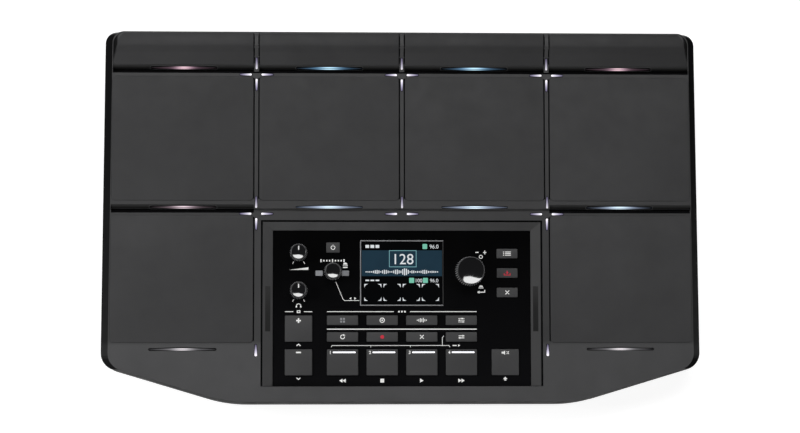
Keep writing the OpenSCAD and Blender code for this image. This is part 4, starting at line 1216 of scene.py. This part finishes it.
def knob_printing(white, grey):
    """Stops, a rising wedge, a headset, beats, a page line and the signs for less, more and enter."""
    for name in ("main_volume", "phones"):
        hub = middle_of(f"{name}_knob")
        white.move(hub.x, hub.y)
        for side in (-1, 1):
            a = radians(270 + side * STOP_TURN)
            white.line([(r * cos(a), r * sin(a)) for r in STOP_SPAN], BRANCH)
        if name == "main_volume":
            white.area([(-8.4, -15.1), (8.4, -15.1), (8.4, -12.9)])
        else:
            white.ring(0, -13.6, 1.9, SIGN_LINE, 0, 180)
            for side in (-1, 1):
                white.bar(side * 1.9, -14.2, 1.2, 1.4)

    hub = middle_of("metronome_knob")
    white.move(hub.x, hub.y)
    for i in range(BEATS):
        white.bar(2.5 * i - 10.4, 9.3, 1.1, 1.5 if i % 4 else 2.6)
    for place in (-12, 10.8):
        grey.tablet(hub.x + place, hub.y - 1.6, 6.2, 4.6, 0.5)
    white.dome(10.6, 5.9, 1.8)
    white.bar(10.6, 3.5, 4, 1.1)
    edge = deck_box("lcd_window")[0].x - hub.x
    white.line([(2.4, -9.1), (8.6, -23.9), (10, -25.3), (edge - 0.6, -25.3)], PAGE_LINE)
    for turn in (-1, 1):
        white.wedge(17.2 + 2.2 * turn, -23.4, 1.8 * turn, 2.2)

    hub = middle_of("value_knob")
    white.move(hub.x, hub.y)
    white.ring(9.8, 12.7, 1.4, 0.6)
    for place in (6.4, 13.2):
        white.bar(place, 16.6, 2.8, 0.8)
    for place in (15.5, 17.7):
        white.bar(13.2, place, 0.8, 1)
    white.dome(9.8, -13.8, 1.8)
    white.line([(13, -16), (13, -18), (8, -18)], 0.8)
    white.wedge(7.4, -18, -2.2, 2.6)


def panel_printing():
    level = solids("control_panel")[0][0].z
    white, grey = Marks(level), Marks(level)
    row_printing(white)
    knob_printing(white, grey)
    white.piece("panel_printing", "panel_gloss", WHITE_INK)
    grey.piece("panel_tablets", "panel_gloss", GREY_INK)


# Signs on the caps as shapes drawn from a middle

CROSS = (
    ("line", ((-1.6, -1.6), (1.6, 1.6)), SIGN_LINE), ("line", ((-1.6, 1.6), (-0.4, 0.4)), SIGN_LINE),
    ("line", ((0.4, -0.4), (1.6, -1.6)), SIGN_LINE),
)
WAVE = (1, 2.2, 3.6, 2.6, 3.9, 2, 1.2)
SLIDERS = ((1.44, -1.5), (-1.76, 0), (0.64, 1.5))
SIGNS = {
    "power_button": (("ring", 0, 0, 1.7, 0.6, 125, 415), ("bar", 0, 1.5, 0.6, 1.9)),
    "edit_button": [("bar", x, 1.4 * i, w, SIGN_LINE) for i in (-1, 0, 1) for x, w in ((0.8, 5), (-3, 0.9))],
    "write_button": (
        ("line", ((-2.6, -0.3), (-2.6, -1.8), (2.6, -1.8), (2.6, -0.3)), SIGN_LINE),
        ("bar", 0, 1.2, 0.8, 1.6), ("area", ((-1.4, 0.5), (1.4, 0.5), (0, -1.1))),
    ),
    "exit_button": CROSS,
    "kit_up_button": (("bar", 0, 0, 4.2, 1.3), ("bar", 0, -1.375, 1.3, 1.45), ("bar", 0, 1.375, 1.3, 1.45)),
    "kit_down_button": (("bar", 0, 0, 4.4, 1.3),),
    "mode_button_1": [("bar", 1.2 * sx, 1.2 * sy, 1.7, 1.7) for sx, sy in CORNERS],
    "mode_button_2": (("ring", 0, 0, 1.9, SIGN_LINE), ("disc", 0, 0, 0.7)),
    "mode_button_3": [("bar", (i - 3) * 1.3, 0, SIGN_LINE, height) for i, height in enumerate(WAVE)],
    "mode_button_4": [s for x, y in SLIDERS for s in (("bar", 0, y, 5.4, 0.5), ("disc", x, y, 0.65))],
    "looper_button_1": (("ring", 0, 0, 1.7, SIGN_LINE, 60, 370), ("wedge", 1.5, 1.6, 1.8, 1.8)),
    "looper_button_2": (("disc", 0, 0, 1.7),),
    "looper_button_3": CROSS,
    "looper_button_4": (
        ("bar", 0.8, -0.9, 3.4, SIGN_LINE), ("wedge", -1.9, -0.9, -1.9, 2),
        ("bar", -0.8, 0.9, 3.4, SIGN_LINE), ("wedge", 1.9, 0.9, 1.9, 2),
    ),
    "sound_off_button": (
        ("bar", -2.6, 0, 1.3, 1.6), ("area", ((-1.8, -0.8), (-0.2, -1.9), (-0.2, 1.9), (-1.8, 0.8))),
        *(("line", ((a, 1.1 * s), (b, 0.25 * s)), 0.6) for s in (-1, 1) for a, b in ((1.1, 2), (3.1, 2.2))),
    ),
}
SIGN_INKS = {"write_button": RED_INK, "mode_button_1": GREY_INK, "looper_button_2": RED_INK}
# Distance of a sign from the rear edge of its cap, where it isn't in the middle
INSETS = {"kit_up_button": 4.4, "kit_down_button": 2.7, "sound_off_button": 3}


def cap_piece(node, marks, material):
    marks.piece(f"{node}_{material.name}", "button", material, BODY_OF[node])


def cap_signs():
    """Printed signs on the tops of caps, which move with them."""
    for node, shapes in SIGNS.items():
        cap = Cap(node)
        marks = Marks(cap.level, cap.x, cap.rear - INSETS[node] if node in INSETS else cap.y)
        for kind, *values in shapes:
            getattr(marks, kind)(*values)
        cap_piece(node, marks, SIGN_INKS.get(node, WHITE_INK))


def loop_lamps():
    """Number and lit bar of each loop switch."""
    for i in range(1, 5):
        node = f"loop_switch_{i}"
        cap = Cap(node)
        number, lamp = (Marks(cap.level, cap.left, cap.rear - LAMP_INSET) for _ in range(2))
        number.digits(str(i), 2.9, 0, 2.7, 0.12)
        lamp.tablet(14.9, 0, 19.6, 1.3, 0.3)
        cap_piece(node, number, WHITE_INK)
        cap_piece(node, lamp, LED_WHITE)


screen()
panel_printing()
cap_signs()
loop_lamps()
